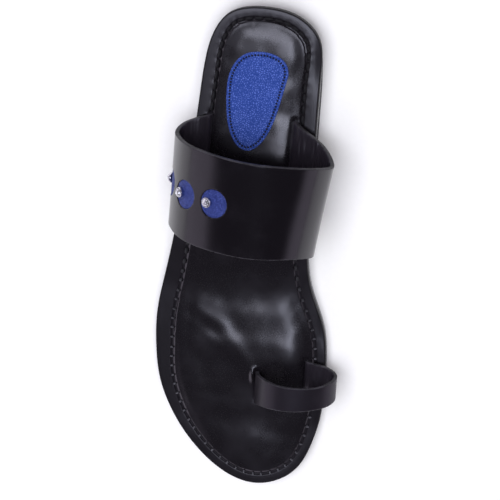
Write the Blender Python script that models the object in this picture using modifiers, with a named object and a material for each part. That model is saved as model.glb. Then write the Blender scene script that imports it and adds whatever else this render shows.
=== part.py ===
"""A leather slipper for the right foot: flat sole, padded footbed, wide instep band and big-toe loop.

Metres, +Z up, +Y towards the toe, +X towards the outer side of the foot. The origin is on the
floor, under the middle of the heel. Distances "from the back" start at the back of the heel.
"""

import math
from typing import NamedTuple

import bmesh
import bpy
import numpy as np
from mathutils import Matrix, Vector

# Overall sizes
LENGTH = 0.260
BALL_WIDTH = 0.0915
WAIST_WIDTH = 0.0675
HEEL_WIDTH = 0.0618
HEEL_CENTRE = 0.0450
GAP = 0.0003

# Sole and lift
OUTSOLE_THICKNESS = 0.0040
TOE_SPRING = 0.0040
HEEL_LIFT_HEIGHT = 0.0070
HEEL_LIFT_LENGTH = 0.0930
BREAST_BOW = 0.0040
SHANK_RUN_OUT = 0.0030
OUTSOLE_TAPER = 0.0010
HEEL_LIFT_TAPER = 0.0018
TAPER_LENGTH = 0.0450

# Padded footbed
INSOLE_THICKNESS = 0.0036
INSOLE_ROUNDING = 0.0010
STITCH_INSET = 0.0055
GROOVE_HALF_WIDTH = 0.0012
GROOVE_DEPTH = 0.0009
PAD_RISE = 0.0022
PAD_SLOPE = 0.0070
SPINE_FROM_END = 0.0310

# Instep band
BAND_WALL = 0.0024
BAND_WIDTH = 0.0503
BAND_FROM_BACK = 0.0716
BAND_RISE = 0.0455
BAND_INNER_OVERHANG_BACK = 0.0117
BAND_INNER_OVERHANG_FRONT = 0.0048
BAND_OUTER_OVERHANG_BACK = 0.0062
BAND_OUTER_OVERHANG_FRONT = 0.0002

# Toe loop
LOOP_WALL = 0.0020
LOOP_WIDTH = 0.0133
LOOP_BACK_FROM_TIP = 0.0631
LOOP_RISE = 0.0240
LOOP_OVERHANG = 0.0066
LOOP_MIDDLE = 0.0310
LOOP_GAP_SIDE = 0.0080

# Round inlays and crystals
INLAY_DIAMETER = 0.0150
INLAY_THICKNESS = 0.0006
INLAY_FROM_CROWN = 0.0195
INLAY_SPACING = 0.0194
POCKET_DEPTH = 0.0012
STUD_FROM_MIDDLE = 0.0034
CUP_DIAMETER = 0.0054
CUP_HEIGHT = 0.0014
CUP_WALL = 0.0004
STONE_DIAMETER = 0.0040
STONE_HEIGHT = 0.0020

# Heel patch
PATCH_LENGTH = 0.0525
PATCH_WIDTH = 0.0315
PATCH_THICKNESS = 0.0010
PATCH_FROM_BACK = 0.0227
PATCH_OFF_CENTRE = 0.0012

# Share of the band's width by which each inlay lies nearer the toe than the one before
INLAY_DRIFT = 0.02

# Girth of each strap that may lie inside the footbed's thickness
BAND_SLOT_RUN = 0.0130
LOOP_SLOT_RUN = 0.0160
# Share of the girth by which a slot goes on past the strap's end
SLOT_PAST_END = 0.02

# Shares of the length where the ball starts to lie flat and where the toe starts to spring
FLAT_START = 0.61
SPRING_START = 0.855

# Shares of the pad's rise at its foot and its shoulder, and of the edge's rounding at its middle
PAD_FOOT = 0.2
PAD_SHOULDER = 0.8
ROUNDING_MIDDLE = 0.3

# Shares of a stone's radius at its table and its foot, and of its height at its girdle
TABLE_SHARE = 0.55
POINT_SHARE = 0.45
GIRDLE_TOP = 0.55
GIRDLE_FOOT = 0.40

# Colours, as red, green and blue in linear light
BLUE = (0.045, 0.080, 0.350)
SHEET_RUBBER = (0.035, 0.035, 0.040)
HEEL_RUBBER = (0.020, 0.020, 0.022)
FOOTBED_BLACK = (0.012, 0.012, 0.014)
STRAP_BLACK = (0.012, 0.010, 0.014)
SILVER = (0.80, 0.80, 0.82)
CLEAR = (0.90, 0.92, 0.95)

# Quads along and across each strap, and points round the outlines
BAND_GRID = (56, 9)
LOOP_GRID = (30, 4)
PATCH_POINTS = 48
OUTLINE_POINTS = 96
OUTER = 1
INNER = -1


class SoleSection(NamedTuple):
    """One row of the sole's plan, as shares of the named sizes."""

    along: float
    inner: float
    outer: float
    width: float


class PadRow(NamedTuple):
    """Distance of the stitch line from the edge, as shares of STITCH_INSET."""

    along: float
    inner: float
    outer: float


class StrapRow(NamedTuple):
    """One fold of a strap, from its inner foot to its outer foot.

    across: share of the reach from the strap's middle to the bulge on that side
    rise: share of the strap's rise above the footbed's rim
    back, front: where the two edges lie, as shares of the strap's width from its back line
    """

    across: float
    rise: float
    back: float
    front: float


class OutlinePoint(NamedTuple):
    """A point of the heel patch's outline, as shares of its length and width."""

    along: float
    across: float


SOLE_SECTIONS = (
    SoleSection(0.000, 0.000, 0.000, HEEL_WIDTH),
    SoleSection(0.020, 0.333, 0.315, HEEL_WIDTH),
    SoleSection(0.055, 0.468, 0.415, HEEL_WIDTH),
    SoleSection(0.120, 0.502, 0.480, HEEL_WIDTH),
    SoleSection(0.230, 0.497, 0.521, HEEL_WIDTH),
    SoleSection(0.385, 0.446, 0.554, WAIST_WIDTH),
    SoleSection(0.490, 0.446, 0.614, WAIST_WIDTH),
    SoleSection(0.575, 0.363, 0.496, BALL_WIDTH),
    SoleSection(0.655, 0.449, 0.529, BALL_WIDTH),
    SoleSection(0.730, 0.479, 0.523, BALL_WIDTH),
    SoleSection(0.790, 0.479, 0.496, BALL_WIDTH),
    SoleSection(0.850, 0.468, 0.430, BALL_WIDTH),
    SoleSection(0.910, 0.427, 0.320, BALL_WIDTH),
    SoleSection(0.962, 0.352, 0.169, BALL_WIDTH),
    SoleSection(1.000, 0.131, -0.131, BALL_WIDTH),
)

PAD_ROWS = (
    PadRow(0.00, 1.00, 1.00),
    PadRow(0.15, 1.35, 1.35),
    PadRow(0.40, 1.30, 1.30),
    PadRow(0.58, 1.05, 1.65),
    PadRow(0.72, 1.00, 1.60),
    PadRow(0.88, 0.96, 1.10),
    PadRow(1.00, 0.96, 0.96),
)

BAND_ROWS = (
    StrapRow(-0.455, 0.00, -0.280, 0.873),
    StrapRow(-0.475, 0.03, -0.275, 0.877),
    StrapRow(-0.700, 0.15, -0.170, 0.930),
    StrapRow(-0.930, 0.29, -0.030, 1.000),
    StrapRow(-1.000, 0.42, 0.060, 1.046),
    StrapRow(-0.960, 0.57, 0.062, 1.042),
    StrapRow(-0.790, 0.78, 0.038, 1.014),
    StrapRow(-0.430, 0.95, 0.016, 1.006),
    StrapRow(-0.110, 1.00, 0.000, 1.000),
    StrapRow(0.220, 0.95, -0.020, 0.987),
    StrapRow(0.440, 0.88, -0.040, 0.972),
    StrapRow(0.660, 0.76, -0.058, 0.955),
    StrapRow(0.830, 0.61, -0.074, 0.932),
    StrapRow(0.950, 0.43, -0.094, 0.895),
    StrapRow(1.000, 0.28, -0.120, 0.858),
    StrapRow(0.920, 0.13, -0.190, 0.800),
    StrapRow(0.650, 0.03, -0.270, 0.740),
    StrapRow(0.600, 0.00, -0.280, 0.728),
)

LOOP_ROWS = (
    StrapRow(-0.110, 0.00, -0.65, 0.48),
    StrapRow(-0.155, 0.05, -0.63, 0.50),
    StrapRow(-0.720, 0.22, -0.54, 0.48),
    StrapRow(-1.000, 0.43, -0.35, 0.60),
    StrapRow(-0.920, 0.66, -0.22, 0.75),
    StrapRow(-0.585, 0.88, -0.05, 0.88),
    StrapRow(-0.100, 1.00, 0.00, 0.98),
    StrapRow(0.400, 0.96, -0.01, 1.03),
    StrapRow(0.730, 0.76, -0.08, 1.08),
    StrapRow(0.930, 0.42, -0.07, 1.21),
    StrapRow(1.000, 0.05, -0.03, 1.42),
    StrapRow(1.000, 0.00, -0.02, 1.45),
)

PATCH_OUTLINE = (
    OutlinePoint(0.000, -0.01),
    OutlinePoint(0.035, 0.23),
    OutlinePoint(0.130, 0.39),
    OutlinePoint(0.270, 0.48),
    OutlinePoint(0.450, 0.50),
    OutlinePoint(0.624, 0.48),
    OutlinePoint(0.780, 0.43),
    OutlinePoint(0.880, 0.36),
    OutlinePoint(0.972, 0.24),
    OutlinePoint(1.000, 0.09),
    OutlinePoint(0.960, -0.05),
    OutlinePoint(0.857, -0.19),
    OutlinePoint(0.567, -0.37),
    OutlinePoint(0.280, -0.48),
    OutlinePoint(0.184, -0.50),
    OutlinePoint(0.090, -0.44),
    OutlinePoint(0.026, -0.29),
)


def smooth_curve(points, count, closed=False):
    """Points on the cubic spline through some points, evenly spaced along its length."""
    points = np.asarray(points, dtype=float)
    if closed:
        points = np.vstack([points, points[:1]])
    steps = np.linalg.norm(np.diff(points, axis=0), axis=1)
    rises = np.diff(points, axis=0) / steps[:, None]
    last = len(points) - 1
    system = np.zeros((last + 1, last + 1))
    target = np.zeros_like(points)
    for k in range(1, last):
        system[k, k - 1 : k + 2] = steps[k], 2 * (steps[k - 1] + steps[k]), steps[k - 1]
        target[k] = 3 * (steps[k] * rises[k - 1] + steps[k - 1] * rises[k])
    if closed:
        system[0, 0] = 2 * (steps[-1] + steps[0])
        system[0, 1] = steps[-1]
        system[0, last - 1] = steps[0]
        target[0] = 3 * (steps[0] * rises[-1] + steps[-1] * rises[0])
        system[last, 0] = 1
        system[last, last] = -1
    else:
        system[0, :2] = 2, 1
        target[0] = 3 * rises[0]
        system[last, last - 1 :] = 1, 2
        target[last] = 3 * rises[-1]
    slopes = np.linalg.solve(system, target)
    share = np.linspace(0, 1, 40, endpoint=False)[:, None]
    pieces = []
    for k in range(last):
        rise = points[k + 1] - points[k]
        bend_in = steps[k] * slopes[k] - rise
        bend_out = rise - steps[k] * slopes[k + 1]
        swing = (1 - share) * bend_in + share * bend_out
        pieces.append(points[k] + share * rise + share * (1 - share) * swing)
    fine = np.vstack([*pieces, points[-1:]])
    travel = np.concatenate([[0], np.cumsum(np.linalg.norm(np.diff(fine, axis=0), axis=1))])
    wanted = np.linspace(0, travel[-1], count)
    return np.stack([np.interp(wanted, travel, column) for column in fine.T], axis=1)


def ease(share):
    """Rises smoothly from 0 to 1."""
    share = np.clip(share, 0, 1)
    return share * share * (3 - 2 * share)


def tread_line(y):
    """Height of the outsole's underside at a distance from the back."""
    shank_start = HEEL_LIFT_LENGTH + SHANK_RUN_OUT
    shank = ease((FLAT_START * LENGTH - y) / (FLAT_START * LENGTH - shank_start))
    spring = np.clip((y / LENGTH - SPRING_START) / (1 - SPRING_START), 0, None)
    return HEEL_LIFT_HEIGHT * shank + TOE_SPRING * spring**2


def base_line(y):
    """Height of the footbed's underside at a distance from the back."""
    return tread_line(y) + OUTSOLE_THICKNESS + GAP


def sole_outline():
    """The sole's plan: a loop from the back of the heel, along the outer side, round the toe and back."""
    outer = [(s.outer * s.width, s.along * LENGTH) for s in SOLE_SECTIONS]
    inner = [(-s.inner * s.width, s.along * LENGTH) for s in SOLE_SECTIONS[-2:0:-1]]
    loop = smooth_curve(outer + inner, 40 * OUTLINE_POINTS + 1, closed=True)[:-1]
    tip = int(np.argmin(np.linalg.norm(loop - outer[-1], axis=1)))
    half = OUTLINE_POINTS // 2
    outer_half = np.linspace(0, tip, half, endpoint=False)
    inner_half = np.linspace(tip, len(loop), half, endpoint=False)
    return loop[np.concatenate([outer_half, inner_half]).astype(int)]


def edge_of_sole(y, side):
    """Distance of the sole's edge from the centre line, on one side."""
    loop = sole_outline()
    half = OUTLINE_POINTS // 2
    chain = loop[: half + 1] if side == OUTER else np.vstack([loop[half:], loop[:1]])[::-1]
    return float(np.interp(y, chain[:, 1], side * chain[:, 0]))


def inward_normals(loop):
    """Unit vectors across a loop that runs with its inside on the left."""
    along = np.roll(loop, -1, axis=0) - np.roll(loop, 1, axis=0)
    across = np.stack([-along[:, 1], along[:, 0]], axis=1)
    return across / np.linalg.norm(across, axis=1)[:, None]


def spine_of(loop):
    """The point in the sole's middle that each point of the outline is joined to."""
    pair = (loop + np.roll(loop[::-1], 1, axis=0)) / 2
    half = len(loop) // 2
    y = np.clip(pair[:, 1], SPINE_FROM_END, LENGTH - SPINE_FROM_END)
    return np.stack([np.interp(y, pair[: half + 1, 1], pair[: half + 1, 0]), y], axis=1)


def stitch_inset(loop):
    """Distance of the stitch line from the edge at each point of the outline."""
    along = loop[:, 1] / LENGTH
    stations = [row.along for row in PAD_ROWS]
    outer = np.interp(along, stations, [row.outer for row in PAD_ROWS])
    inner = np.interp(along, stations, [row.inner for row in PAD_ROWS])
    on_outer_side = np.arange(len(loop)) < len(loop) // 2
    return STITCH_INSET * np.where(on_outer_side, outer, inner)


def drawn_in(loop, taper):
    """The outline drawn in round the back of the heel, by the whole taper at the very back."""
    share = ease(1 - loop[:, 1] / TAPER_LENGTH)
    return loop + inward_normals(loop) * (taper * share)[:, None]


def lifted(plan, line, height):
    """Raises a plan loop to a height above a line along the foot, and moves it to the model's frame."""
    z = line(plan[:, 1]) + height
    return np.column_stack([plan[:, 0], plan[:, 1] - HEEL_CENTRE, z])


def finish(name, colour, roughness, metallic=0.0):
    """A material of one colour."""
    material = bpy.data.materials.new(name)
    material.use_nodes = True
    shader = material.node_tree.nodes["Principled BSDF"]
    shader.inputs["Base Color"].default_value = (*colour, 1.0)
    shader.inputs["Roughness"].default_value = roughness
    shader.inputs["Metallic"].default_value = metallic
    return material


def add_object(name, mesh, material, collection):
    """Puts a mesh into the scene under its node's name."""
    mesh.shade_smooth()
    mesh.set_sharp_from_angle(angle=math.radians(40))
    piece = bpy.data.objects.new(name, mesh)
    mesh.materials.append(material)
    collection.objects.link(piece)
    return piece


def mesh_from_rows(name, rows, closed_rows):
    """A mesh of quads between rows of points, with the points that coincide merged."""
    rows = np.asarray(rows)
    lines, across = rows.shape[:2]
    wrap = across if closed_rows else across - 1
    faces = []
    for line in range(lines - 1):
        for k in range(wrap):
            after = (k + 1) % across
            here = line * across
            faces.append((here + k, here + after, here + across + after, here + across + k))
    mesh = bpy.data.meshes.new(name)
    mesh.from_pydata(rows.reshape(-1, 3).tolist(), [], faces)
    shape = bmesh.new()
    shape.from_mesh(mesh)
    bmesh.ops.remove_doubles(shape, verts=shape.verts, dist=1e-6)
    bmesh.ops.recalc_face_normals(shape, faces=shape.faces)
    shape.to_mesh(mesh)
    shape.free()
    return mesh


def make_outsole(collection):
    """The rubber sheet under the whole foot, bent at the arch and the toe and tapered at the heel."""
    edge = sole_outline()
    spine = spine_of(edge)
    middle = (edge + spine) / 2
    foot = drawn_in(edge, OUTSOLE_TAPER)
    under = [lifted(plan, tread_line, 0) for plan in (spine, middle, foot)]
    over = [lifted(plan, tread_line, OUTSOLE_THICKNESS) for plan in (edge, middle, spine)]
    mesh = mesh_from_rows("outsole", under + over, closed_rows=True)
    rubber = finish("rubber sheet", SHEET_RUBBER, 0.45)
    return add_object("outsole", mesh, rubber, collection)


def make_insole(collection):
    """The padded footbed: a flat welt margin, a stitch groove and a raised pad."""
    edge = sole_outline()
    inward = inward_normals(edge)
    spine = spine_of(edge)
    stitch = stitch_inset(edge)
    rim = INSOLE_THICKNESS
    nothing = np.zeros(len(edge))
    bevel = ROUNDING_MIDDLE * INSOLE_ROUNDING
    rings = (
        (nothing, 0.0),
        (nothing, rim - INSOLE_ROUNDING),
        (nothing + bevel, rim - bevel),
        (nothing + INSOLE_ROUNDING, rim),
        (stitch - GROOVE_HALF_WIDTH, rim),
        (stitch, rim - GROOVE_DEPTH),
        (stitch + GROOVE_HALF_WIDTH, rim + PAD_FOOT * PAD_RISE),
        (stitch + PAD_SLOPE / 2, rim + PAD_SHOULDER * PAD_RISE),
        (stitch + PAD_SLOPE, rim + PAD_RISE),
    )
    plans = [edge + inward * inset[:, None] for inset, _ in rings]
    under = [spine, (edge + spine) / 2]
    loops = [lifted(plan, base_line, 0) for plan in under]
    loops += [lifted(plan, base_line, height) for plan, (_, height) in zip(plans, rings)]
    plateau = plans[-1]
    loops += [lifted(plan, base_line, rim + PAD_RISE) for plan in ((plateau + spine) / 2, spine)]
    mesh = mesh_from_rows("insole", loops, closed_rows=True)
    leather = finish("black footbed leather", FOOTBED_BLACK, 0.25)
    return add_object("insole", mesh, leather, collection)


def flat_piece(name, outline, bottom, thickness, material, collection):
    """A flat outline, cut from sheet of one thickness, with its underside at a height."""
    curve = bpy.data.curves.new(name, "CURVE")
    curve.dimensions = "2D"
    curve.fill_mode = "BOTH"
    curve.extrude = thickness / 2
    spline = curve.splines.new("POLY")
    spline.points.add(len(outline) - 1)
    for point, (x, y) in zip(spline.points, outline):
        point.co = (x, y - HEEL_CENTRE, 0.0, 1.0)
    spline.use_cyclic_u = True
    curve.materials.append(material)
    piece = bpy.data.objects.new(name, curve)
    piece.location.z = bottom + thickness / 2
    collection.objects.link(piece)
    return piece


def heel_outline():
    """The heel's plan under the outsole: the sole's outline as far as the bowed breast."""
    loop = drawn_in(sole_outline(), OUTSOLE_TAPER)
    corner = HEEL_LIFT_LENGTH - BREAST_BOW
    half = len(loop) // 2
    outer_side = [point for point in loop[:half] if point[1] < corner]
    inner_side = [point for point in loop[half:] if point[1] < corner]
    share = np.linspace(0, 1, 13)
    start = edge_of_sole(corner, OUTER)
    end = -edge_of_sole(corner, INNER)
    x = start + (end - start) * share
    y = corner + BREAST_BOW * 4 * share * (1 - share)
    return np.vstack([outer_side, np.column_stack([x, y]), inner_side])


def make_heel_lift(collection):
    """The flat lift under the heel, lofted from its tread up to the outsole's outline."""
    top = heel_outline()
    tread = drawn_in(top, HEEL_LIFT_TAPER)
    count = len(top)
    points = []
    for loop, z in ((tread, 0.0), (top, HEEL_LIFT_HEIGHT - GAP)):
        points += [(x, y - HEEL_CENTRE, z) for x, y in loop]
    ring = range(count)
    faces = [[*reversed(ring)], [count + k for k in ring]]
    faces += [[k, (k + 1) % count, count + (k + 1) % count, count + k] for k in ring]
    mesh = bpy.data.meshes.new("heel_lift")
    mesh.from_pydata(points, [], faces)
    return add_object("heel_lift", mesh, finish("heel rubber", HEEL_RUBBER, 0.6), collection)


def make_heel_patch(collection):
    """The teardrop of blue leather on the heel seat."""
    corners = []
    for point in PATCH_OUTLINE:
        x = PATCH_OFF_CENTRE + point.across * PATCH_WIDTH
        corners.append((x, PATCH_FROM_BACK + point.along * PATCH_LENGTH))
    outline = smooth_curve(corners, PATCH_POINTS + 1, closed=True)[:-1]
    bottom = float(base_line(PATCH_FROM_BACK)) + INSOLE_THICKNESS + PAD_RISE + GAP
    leather = finish("blue patch leather", BLUE, 0.45)
    return flat_piece("heel_patch", outline, bottom, PATCH_THICKNESS, leather, collection)


class Strap:
    """A leather strap whose back and front edges are smooth curves, with straight lines between them."""

    def __init__(self, name, rows, wall, rise, width, back_line, middle, reaches):
        """Works the two edges out from the rows. reaches holds, for the back and the front edge, the
        distances from the middle to the inner and the outer bulge."""
        self.name = name
        self.wall = wall
        edges = []
        for column, (inner_reach, outer_reach) in zip(("back", "front"), reaches):
            points = []
            for row in rows:
                reach = outer_reach if row.across > 0 else inner_reach
                y = back_line + getattr(row, column) * width
                points.append((middle + row.across * reach, y, row.rise * rise))
            points[0] = (*points[0][:2], GAP - INSOLE_THICKNESS)
            points[-1] = (*points[-1][:2], GAP - INSOLE_THICKNESS)
            edges.append(smooth_curve(points, 600))
        self.back, self.front = edges
        middle_line = (self.back + self.front) / 2
        self.girth = float(np.linalg.norm(np.diff(middle_line, axis=0), axis=1).sum())
        self.crown = float(np.argmax(middle_line[:, 2])) / (len(middle_line) - 1)
        self.width = width

    def points(self, girth, width):
        """Points on the middle of the wall, at shares of the girth and of the width."""
        place = np.asarray(girth) * (len(self.back) - 1)
        whole = np.clip(np.floor(place).astype(int), 0, len(self.back) - 2)
        part = (place - whole)[..., None]
        back = self.back[whole] * (1 - part) + self.back[whole + 1] * part
        front = self.front[whole] * (1 - part) + self.front[whole + 1] * part
        across = np.asarray(width)[..., None]
        point = back * (1 - across) + front * across
        x, y, height = np.moveaxis(point, -1, 0)
        straight = base_line(back[..., 1]) * (1 - across[..., 0]) + base_line(front[..., 1]) * across[..., 0]
        free = ease(height / (2 * INSOLE_THICKNESS))
        ground = base_line(y) * (1 - free) + straight * free
        return np.stack([x, y - HEEL_CENTRE, ground + INSOLE_THICKNESS + height], axis=-1)

    def frame(self, girth, width):
        """Origin, direction along the girth towards the outer side, direction across and outward normal."""
        step = 0.004
        origin = self.points(girth, width)
        along = self.points(girth + step, width) - self.points(girth - step, width)
        across = self.points(girth, width + step) - self.points(girth, width - step)
        normal = np.cross(along, across)
        return origin, along / (2 * step), across / (2 * step), normal / np.linalg.norm(normal)

    def sheet(self, name, girth_shares, width_shares, thickness, offset):
        """A patch of the strap's surface with a wall: an open grid with a Solidify modifier."""
        girth, width = np.meshgrid(girth_shares, width_shares, indexing="ij")
        mesh = mesh_from_rows(name, self.points(girth, width), closed_rows=False)
        piece = bpy.data.objects.new(name, mesh)
        thicken(piece, thickness, offset)
        return piece

    def disc(self, name, girth, width, radius, floor, thickness):
        """A round piece that follows the strap, its underside at a height above the wall's middle."""
        origin, along, across, normal = self.frame(girth, width)
        turn = np.linspace(0, 2 * math.pi, 32, endpoint=False)
        ring = np.array([0.0, 0.5, 1.0])[:, None] * radius
        plane = ring[..., None] * np.stack([np.cos(turn), np.sin(turn)], axis=-1)
        side = along / np.linalg.norm(along)
        up = np.cross(normal, side)
        shares = np.array([[side @ along, side @ across], [up @ along, up @ across]])
        step = plane @ np.linalg.inv(shares).T
        points = self.points(girth + step[..., 0], width + step[..., 1])
        mesh = mesh_from_rows(name, points + normal * floor, closed_rows=True)
        piece = bpy.data.objects.new(name, mesh)
        outward = mesh.polygons[0].normal.dot(Vector(normal)) > 0
        thicken(piece, thickness, 1.0 if outward else -1.0)
        return piece


def thicken(piece, thickness, offset):
    """Gives an open surface its wall."""
    solidify = piece.modifiers.new("wall", "SOLIDIFY")
    solidify.thickness = thickness
    solidify.offset = offset
    solidify.use_even_offset = True
    solidify.use_quality_normals = True


def turned(name, profile, steps, material, collection):
    """A small turned piece: a profile that runs down its outer side, top to bottom, round the Z axis."""
    mesh = bpy.data.meshes.new(name)
    points = [(radius, 0.0, height) for radius, height in profile]
    mesh.from_pydata(points, [(k, k + 1) for k in range(len(points) - 1)], [])
    mesh.materials.append(material)
    piece = bpy.data.objects.new(name, mesh)
    screw = piece.modifiers.new("turn", "SCREW")
    screw.steps = steps
    screw.render_steps = steps
    screw.use_merge_vertices = True
    screw.merge_threshold = 0.00001
    screw.use_smooth_shade = False
    collection.objects.link(piece)
    return piece


def stand_on(piece, strap, place, height):
    """Stands a turned piece on a strap, at a place given as shares of its girth and width, and at a height
    above the wall's middle."""
    origin, along, _, normal = strap.frame(*place)
    side = along / np.linalg.norm(along)
    turn = Matrix(np.column_stack([side, np.cross(normal, side), normal]).tolist()).to_4x4()
    piece.matrix_world = Matrix.Translation(Vector(origin + normal * height)) @ turn


def cut(piece, cutter, cutters):
    """Cuts one object away from another."""
    cutter.hide_render = True
    cutter.display_type = "WIRE"
    cutters.objects.link(cutter)
    boolean = piece.modifiers.new(cutter.name, "BOOLEAN")
    boolean.operation = "DIFFERENCE"
    boolean.solver = "EXACT"
    boolean.object = cutter


def make_strap(strap, sections, across, material, collection):
    """A whole strap as a wall of leather."""
    girth = np.linspace(0, 1, sections)
    width = np.linspace(0, 1, across)
    piece = strap.sheet(strap.name, girth, width, strap.wall, 0.0)
    piece.data.materials.append(material)
    piece.data.shade_smooth()
    piece.data.set_sharp_from_angle(angle=math.radians(40))
    collection.objects.link(piece)
    return piece


def cut_slots(insole, strap, grid, depth, cutters):
    """Opens the footbed's two slots for a strap's feet, a gap wider than the strap all round.

    The cutters have the strap's own folds, so that the gap keeps its width."""
    folds = np.linspace(0, 1, grid[0])
    inner = np.concatenate([[-SLOT_PAST_END], folds[folds < depth / strap.girth]])
    spill = GAP / strap.width
    width = np.linspace(-spill, 1 + spill, grid[1])
    for end, girth in {"inner": inner, "outer": 1 - inner[::-1]}.items():
        name = f"{strap.name}_{end}_slot"
        cutter = strap.sheet(name, girth, width, strap.wall + 2 * GAP, 0.0)
        cut(insole, cutter, cutters)


def make_inlays(band, band_piece, collection, cutters):
    """Three round blue inlays in pockets of the band, each with a crystal in its setting."""
    blue = finish("blue inlay leather", BLUE, 0.45)
    silver = finish("silver setting", SILVER, 0.15, 1.0)
    crystal = finish("clear crystal", CLEAR, 0.03)
    face = band.wall / 2
    radius = INLAY_DIAMETER / 2
    for number in range(3):
        girth = band.crown + (INLAY_FROM_CROWN + number * INLAY_SPACING) / band.girth
        width = 0.5 + number * INLAY_DRIFT
        floor = face - POCKET_DEPTH
        pocket = band.disc(f"pocket_{number + 1}", girth, width, radius + GAP, floor, 3 * POCKET_DEPTH)
        cut(band_piece, pocket, cutters)
        inlay = band.disc(f"inlay_{number + 1}", girth, width, radius, floor + GAP, INLAY_THICKNESS)
        inlay.data.materials.append(blue)
        collection.objects.link(inlay)
        seat = floor + GAP + INLAY_THICKNESS + GAP
        place = (girth + STUD_FROM_MIDDLE / band.girth, width)
        make_stud(number + 1, band, place, seat, silver, crystal, collection)


def make_stud(number, band, place, seat, silver, crystal, collection):
    """A crystal in a shallow metal cup."""
    outside = CUP_DIAMETER / 2
    bore = STONE_DIAMETER / 2 + GAP
    floor = CUP_WALL
    cup_profile = (
        (0.0, floor),
        (bore, floor),
        (bore, CUP_HEIGHT),
        (outside - CUP_WALL / 2, CUP_HEIGHT),
        (outside, CUP_HEIGHT - CUP_WALL),
        (outside, 0.0),
        (0.0, 0.0),
    )
    cup = turned(f"stud_cup_{number}", cup_profile, 24, silver, collection)
    stand_on(cup, band, place, seat)
    girdle = STONE_DIAMETER / 2
    stone_profile = (
        (0.0, STONE_HEIGHT),
        (TABLE_SHARE * girdle, STONE_HEIGHT),
        (girdle, GIRDLE_TOP * STONE_HEIGHT),
        (girdle, GIRDLE_FOOT * STONE_HEIGHT),
        (POINT_SHARE * girdle, 0.0),
        (0.0, 0.0),
    )
    stone = turned(f"stud_stone_{number}", stone_profile, 12, crystal, collection)
    stand_on(stone, band, place, seat + floor + GAP)


def make_band():
    """The instep band's form."""
    back = BAND_FROM_BACK
    front = BAND_FROM_BACK + BAND_WIDTH
    reaches = (
        (
            edge_of_sole(back, INNER) + BAND_INNER_OVERHANG_BACK,
            edge_of_sole(back, OUTER) + BAND_OUTER_OVERHANG_BACK,
        ),
        (
            edge_of_sole(front, INNER) + BAND_INNER_OVERHANG_FRONT,
            edge_of_sole(front, OUTER) + BAND_OUTER_OVERHANG_FRONT,
        ),
    )
    return Strap("instep_band", BAND_ROWS, BAND_WALL, BAND_RISE, BAND_WIDTH, back, 0.0, reaches)


def make_loop():
    """The toe loop's form."""
    back = LENGTH - LOOP_BACK_FROM_TIP
    middle = -LOOP_MIDDLE
    inner = edge_of_sole(back, INNER) + LOOP_OVERHANG - LOOP_MIDDLE
    outer = LOOP_MIDDLE - LOOP_GAP_SIDE
    reaches = ((inner, outer), (inner, outer))
    return Strap("toe_loop", LOOP_ROWS, LOOP_WALL, LOOP_RISE, LOOP_WIDTH, back, middle, reaches)


def main():
    """Clears the scene and builds the slipper."""
    for old in list(bpy.data.objects):
        bpy.data.objects.remove(old, do_unlink=True)
    slipper = bpy.data.collections.new("leather slipper")
    cutters = bpy.data.collections.new("cutters")
    bpy.context.scene.collection.children.link(slipper)
    bpy.context.scene.collection.children.link(cutters)
    make_outsole(slipper)
    make_heel_lift(slipper)
    insole = make_insole(slipper)
    make_heel_patch(slipper)
    band = make_band()
    loop = make_loop()
    band_leather = finish("black band leather", STRAP_BLACK, 0.3)
    loop_leather = finish("black loop leather", STRAP_BLACK, 0.3)
    band_piece = make_strap(band, *BAND_GRID, band_leather, slipper)
    make_strap(loop, *LOOP_GRID, loop_leather, slipper)
    cut_slots(insole, band, BAND_GRID, BAND_SLOT_RUN, cutters)
    cut_slots(insole, loop, LOOP_GRID, LOOP_SLOT_RUN, cutters)
    make_inlays(band, band_piece, slipper, cutters)


main()
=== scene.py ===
"""A black leather slipper for the right foot in a soft studio, seen from above with its toe down.

Metres, +Z up, +Y towards the toe, +X towards the outer side of the foot. The origin is on the floor
under the middle of the heel. Distances "from the back" start at the back of the heel.
"""

from __future__ import annotations

import logging
import math
from dataclasses import dataclass, field
from enum import Enum
from typing import NamedTuple, Sequence, Union

import bmesh
import bpy
import numpy as np
from mathutils import Matrix, Vector

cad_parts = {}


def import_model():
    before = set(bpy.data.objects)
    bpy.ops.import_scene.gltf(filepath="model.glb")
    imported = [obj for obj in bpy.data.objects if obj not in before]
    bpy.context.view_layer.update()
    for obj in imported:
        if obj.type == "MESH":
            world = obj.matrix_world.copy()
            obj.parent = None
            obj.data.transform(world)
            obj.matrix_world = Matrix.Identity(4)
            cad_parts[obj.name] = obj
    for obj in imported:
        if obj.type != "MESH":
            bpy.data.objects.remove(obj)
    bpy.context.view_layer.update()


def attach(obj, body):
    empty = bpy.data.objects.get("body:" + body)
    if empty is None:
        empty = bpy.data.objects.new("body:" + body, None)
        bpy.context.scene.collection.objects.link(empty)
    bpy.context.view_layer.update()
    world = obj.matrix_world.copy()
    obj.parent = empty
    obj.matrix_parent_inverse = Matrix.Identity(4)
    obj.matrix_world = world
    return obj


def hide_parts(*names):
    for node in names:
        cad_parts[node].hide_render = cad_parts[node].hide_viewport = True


log = logging.getLogger("slipper")
MM = 0.001
# Points nearer than this are joined where a grid closes on itself
WELD = 1e-6
# Radius, or share of one, at the poles of round pieces
TIP = 1e-5
# Points worked out on each stretch of a smooth curve before it is spaced evenly
CURVE_STEPS = 60
# The picture is square, with this many pixels a side
IMAGE_SIDE = 500


class Side(Enum):
    """The two sides of the foot, as the sign of X."""

    OUTER = 1
    INNER = -1


class SoleSection(NamedTuple):
    """One row of the sole's plan: where it lies along the length, and its reach as shares of a width."""

    along: float
    inner: float
    outer: float
    width: float


class StrapRow(NamedTuple):
    """One fold of a strap: shares of its reach and rise, and of its width for its two edges."""

    across: float
    rise: float
    back: float
    front: float


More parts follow.
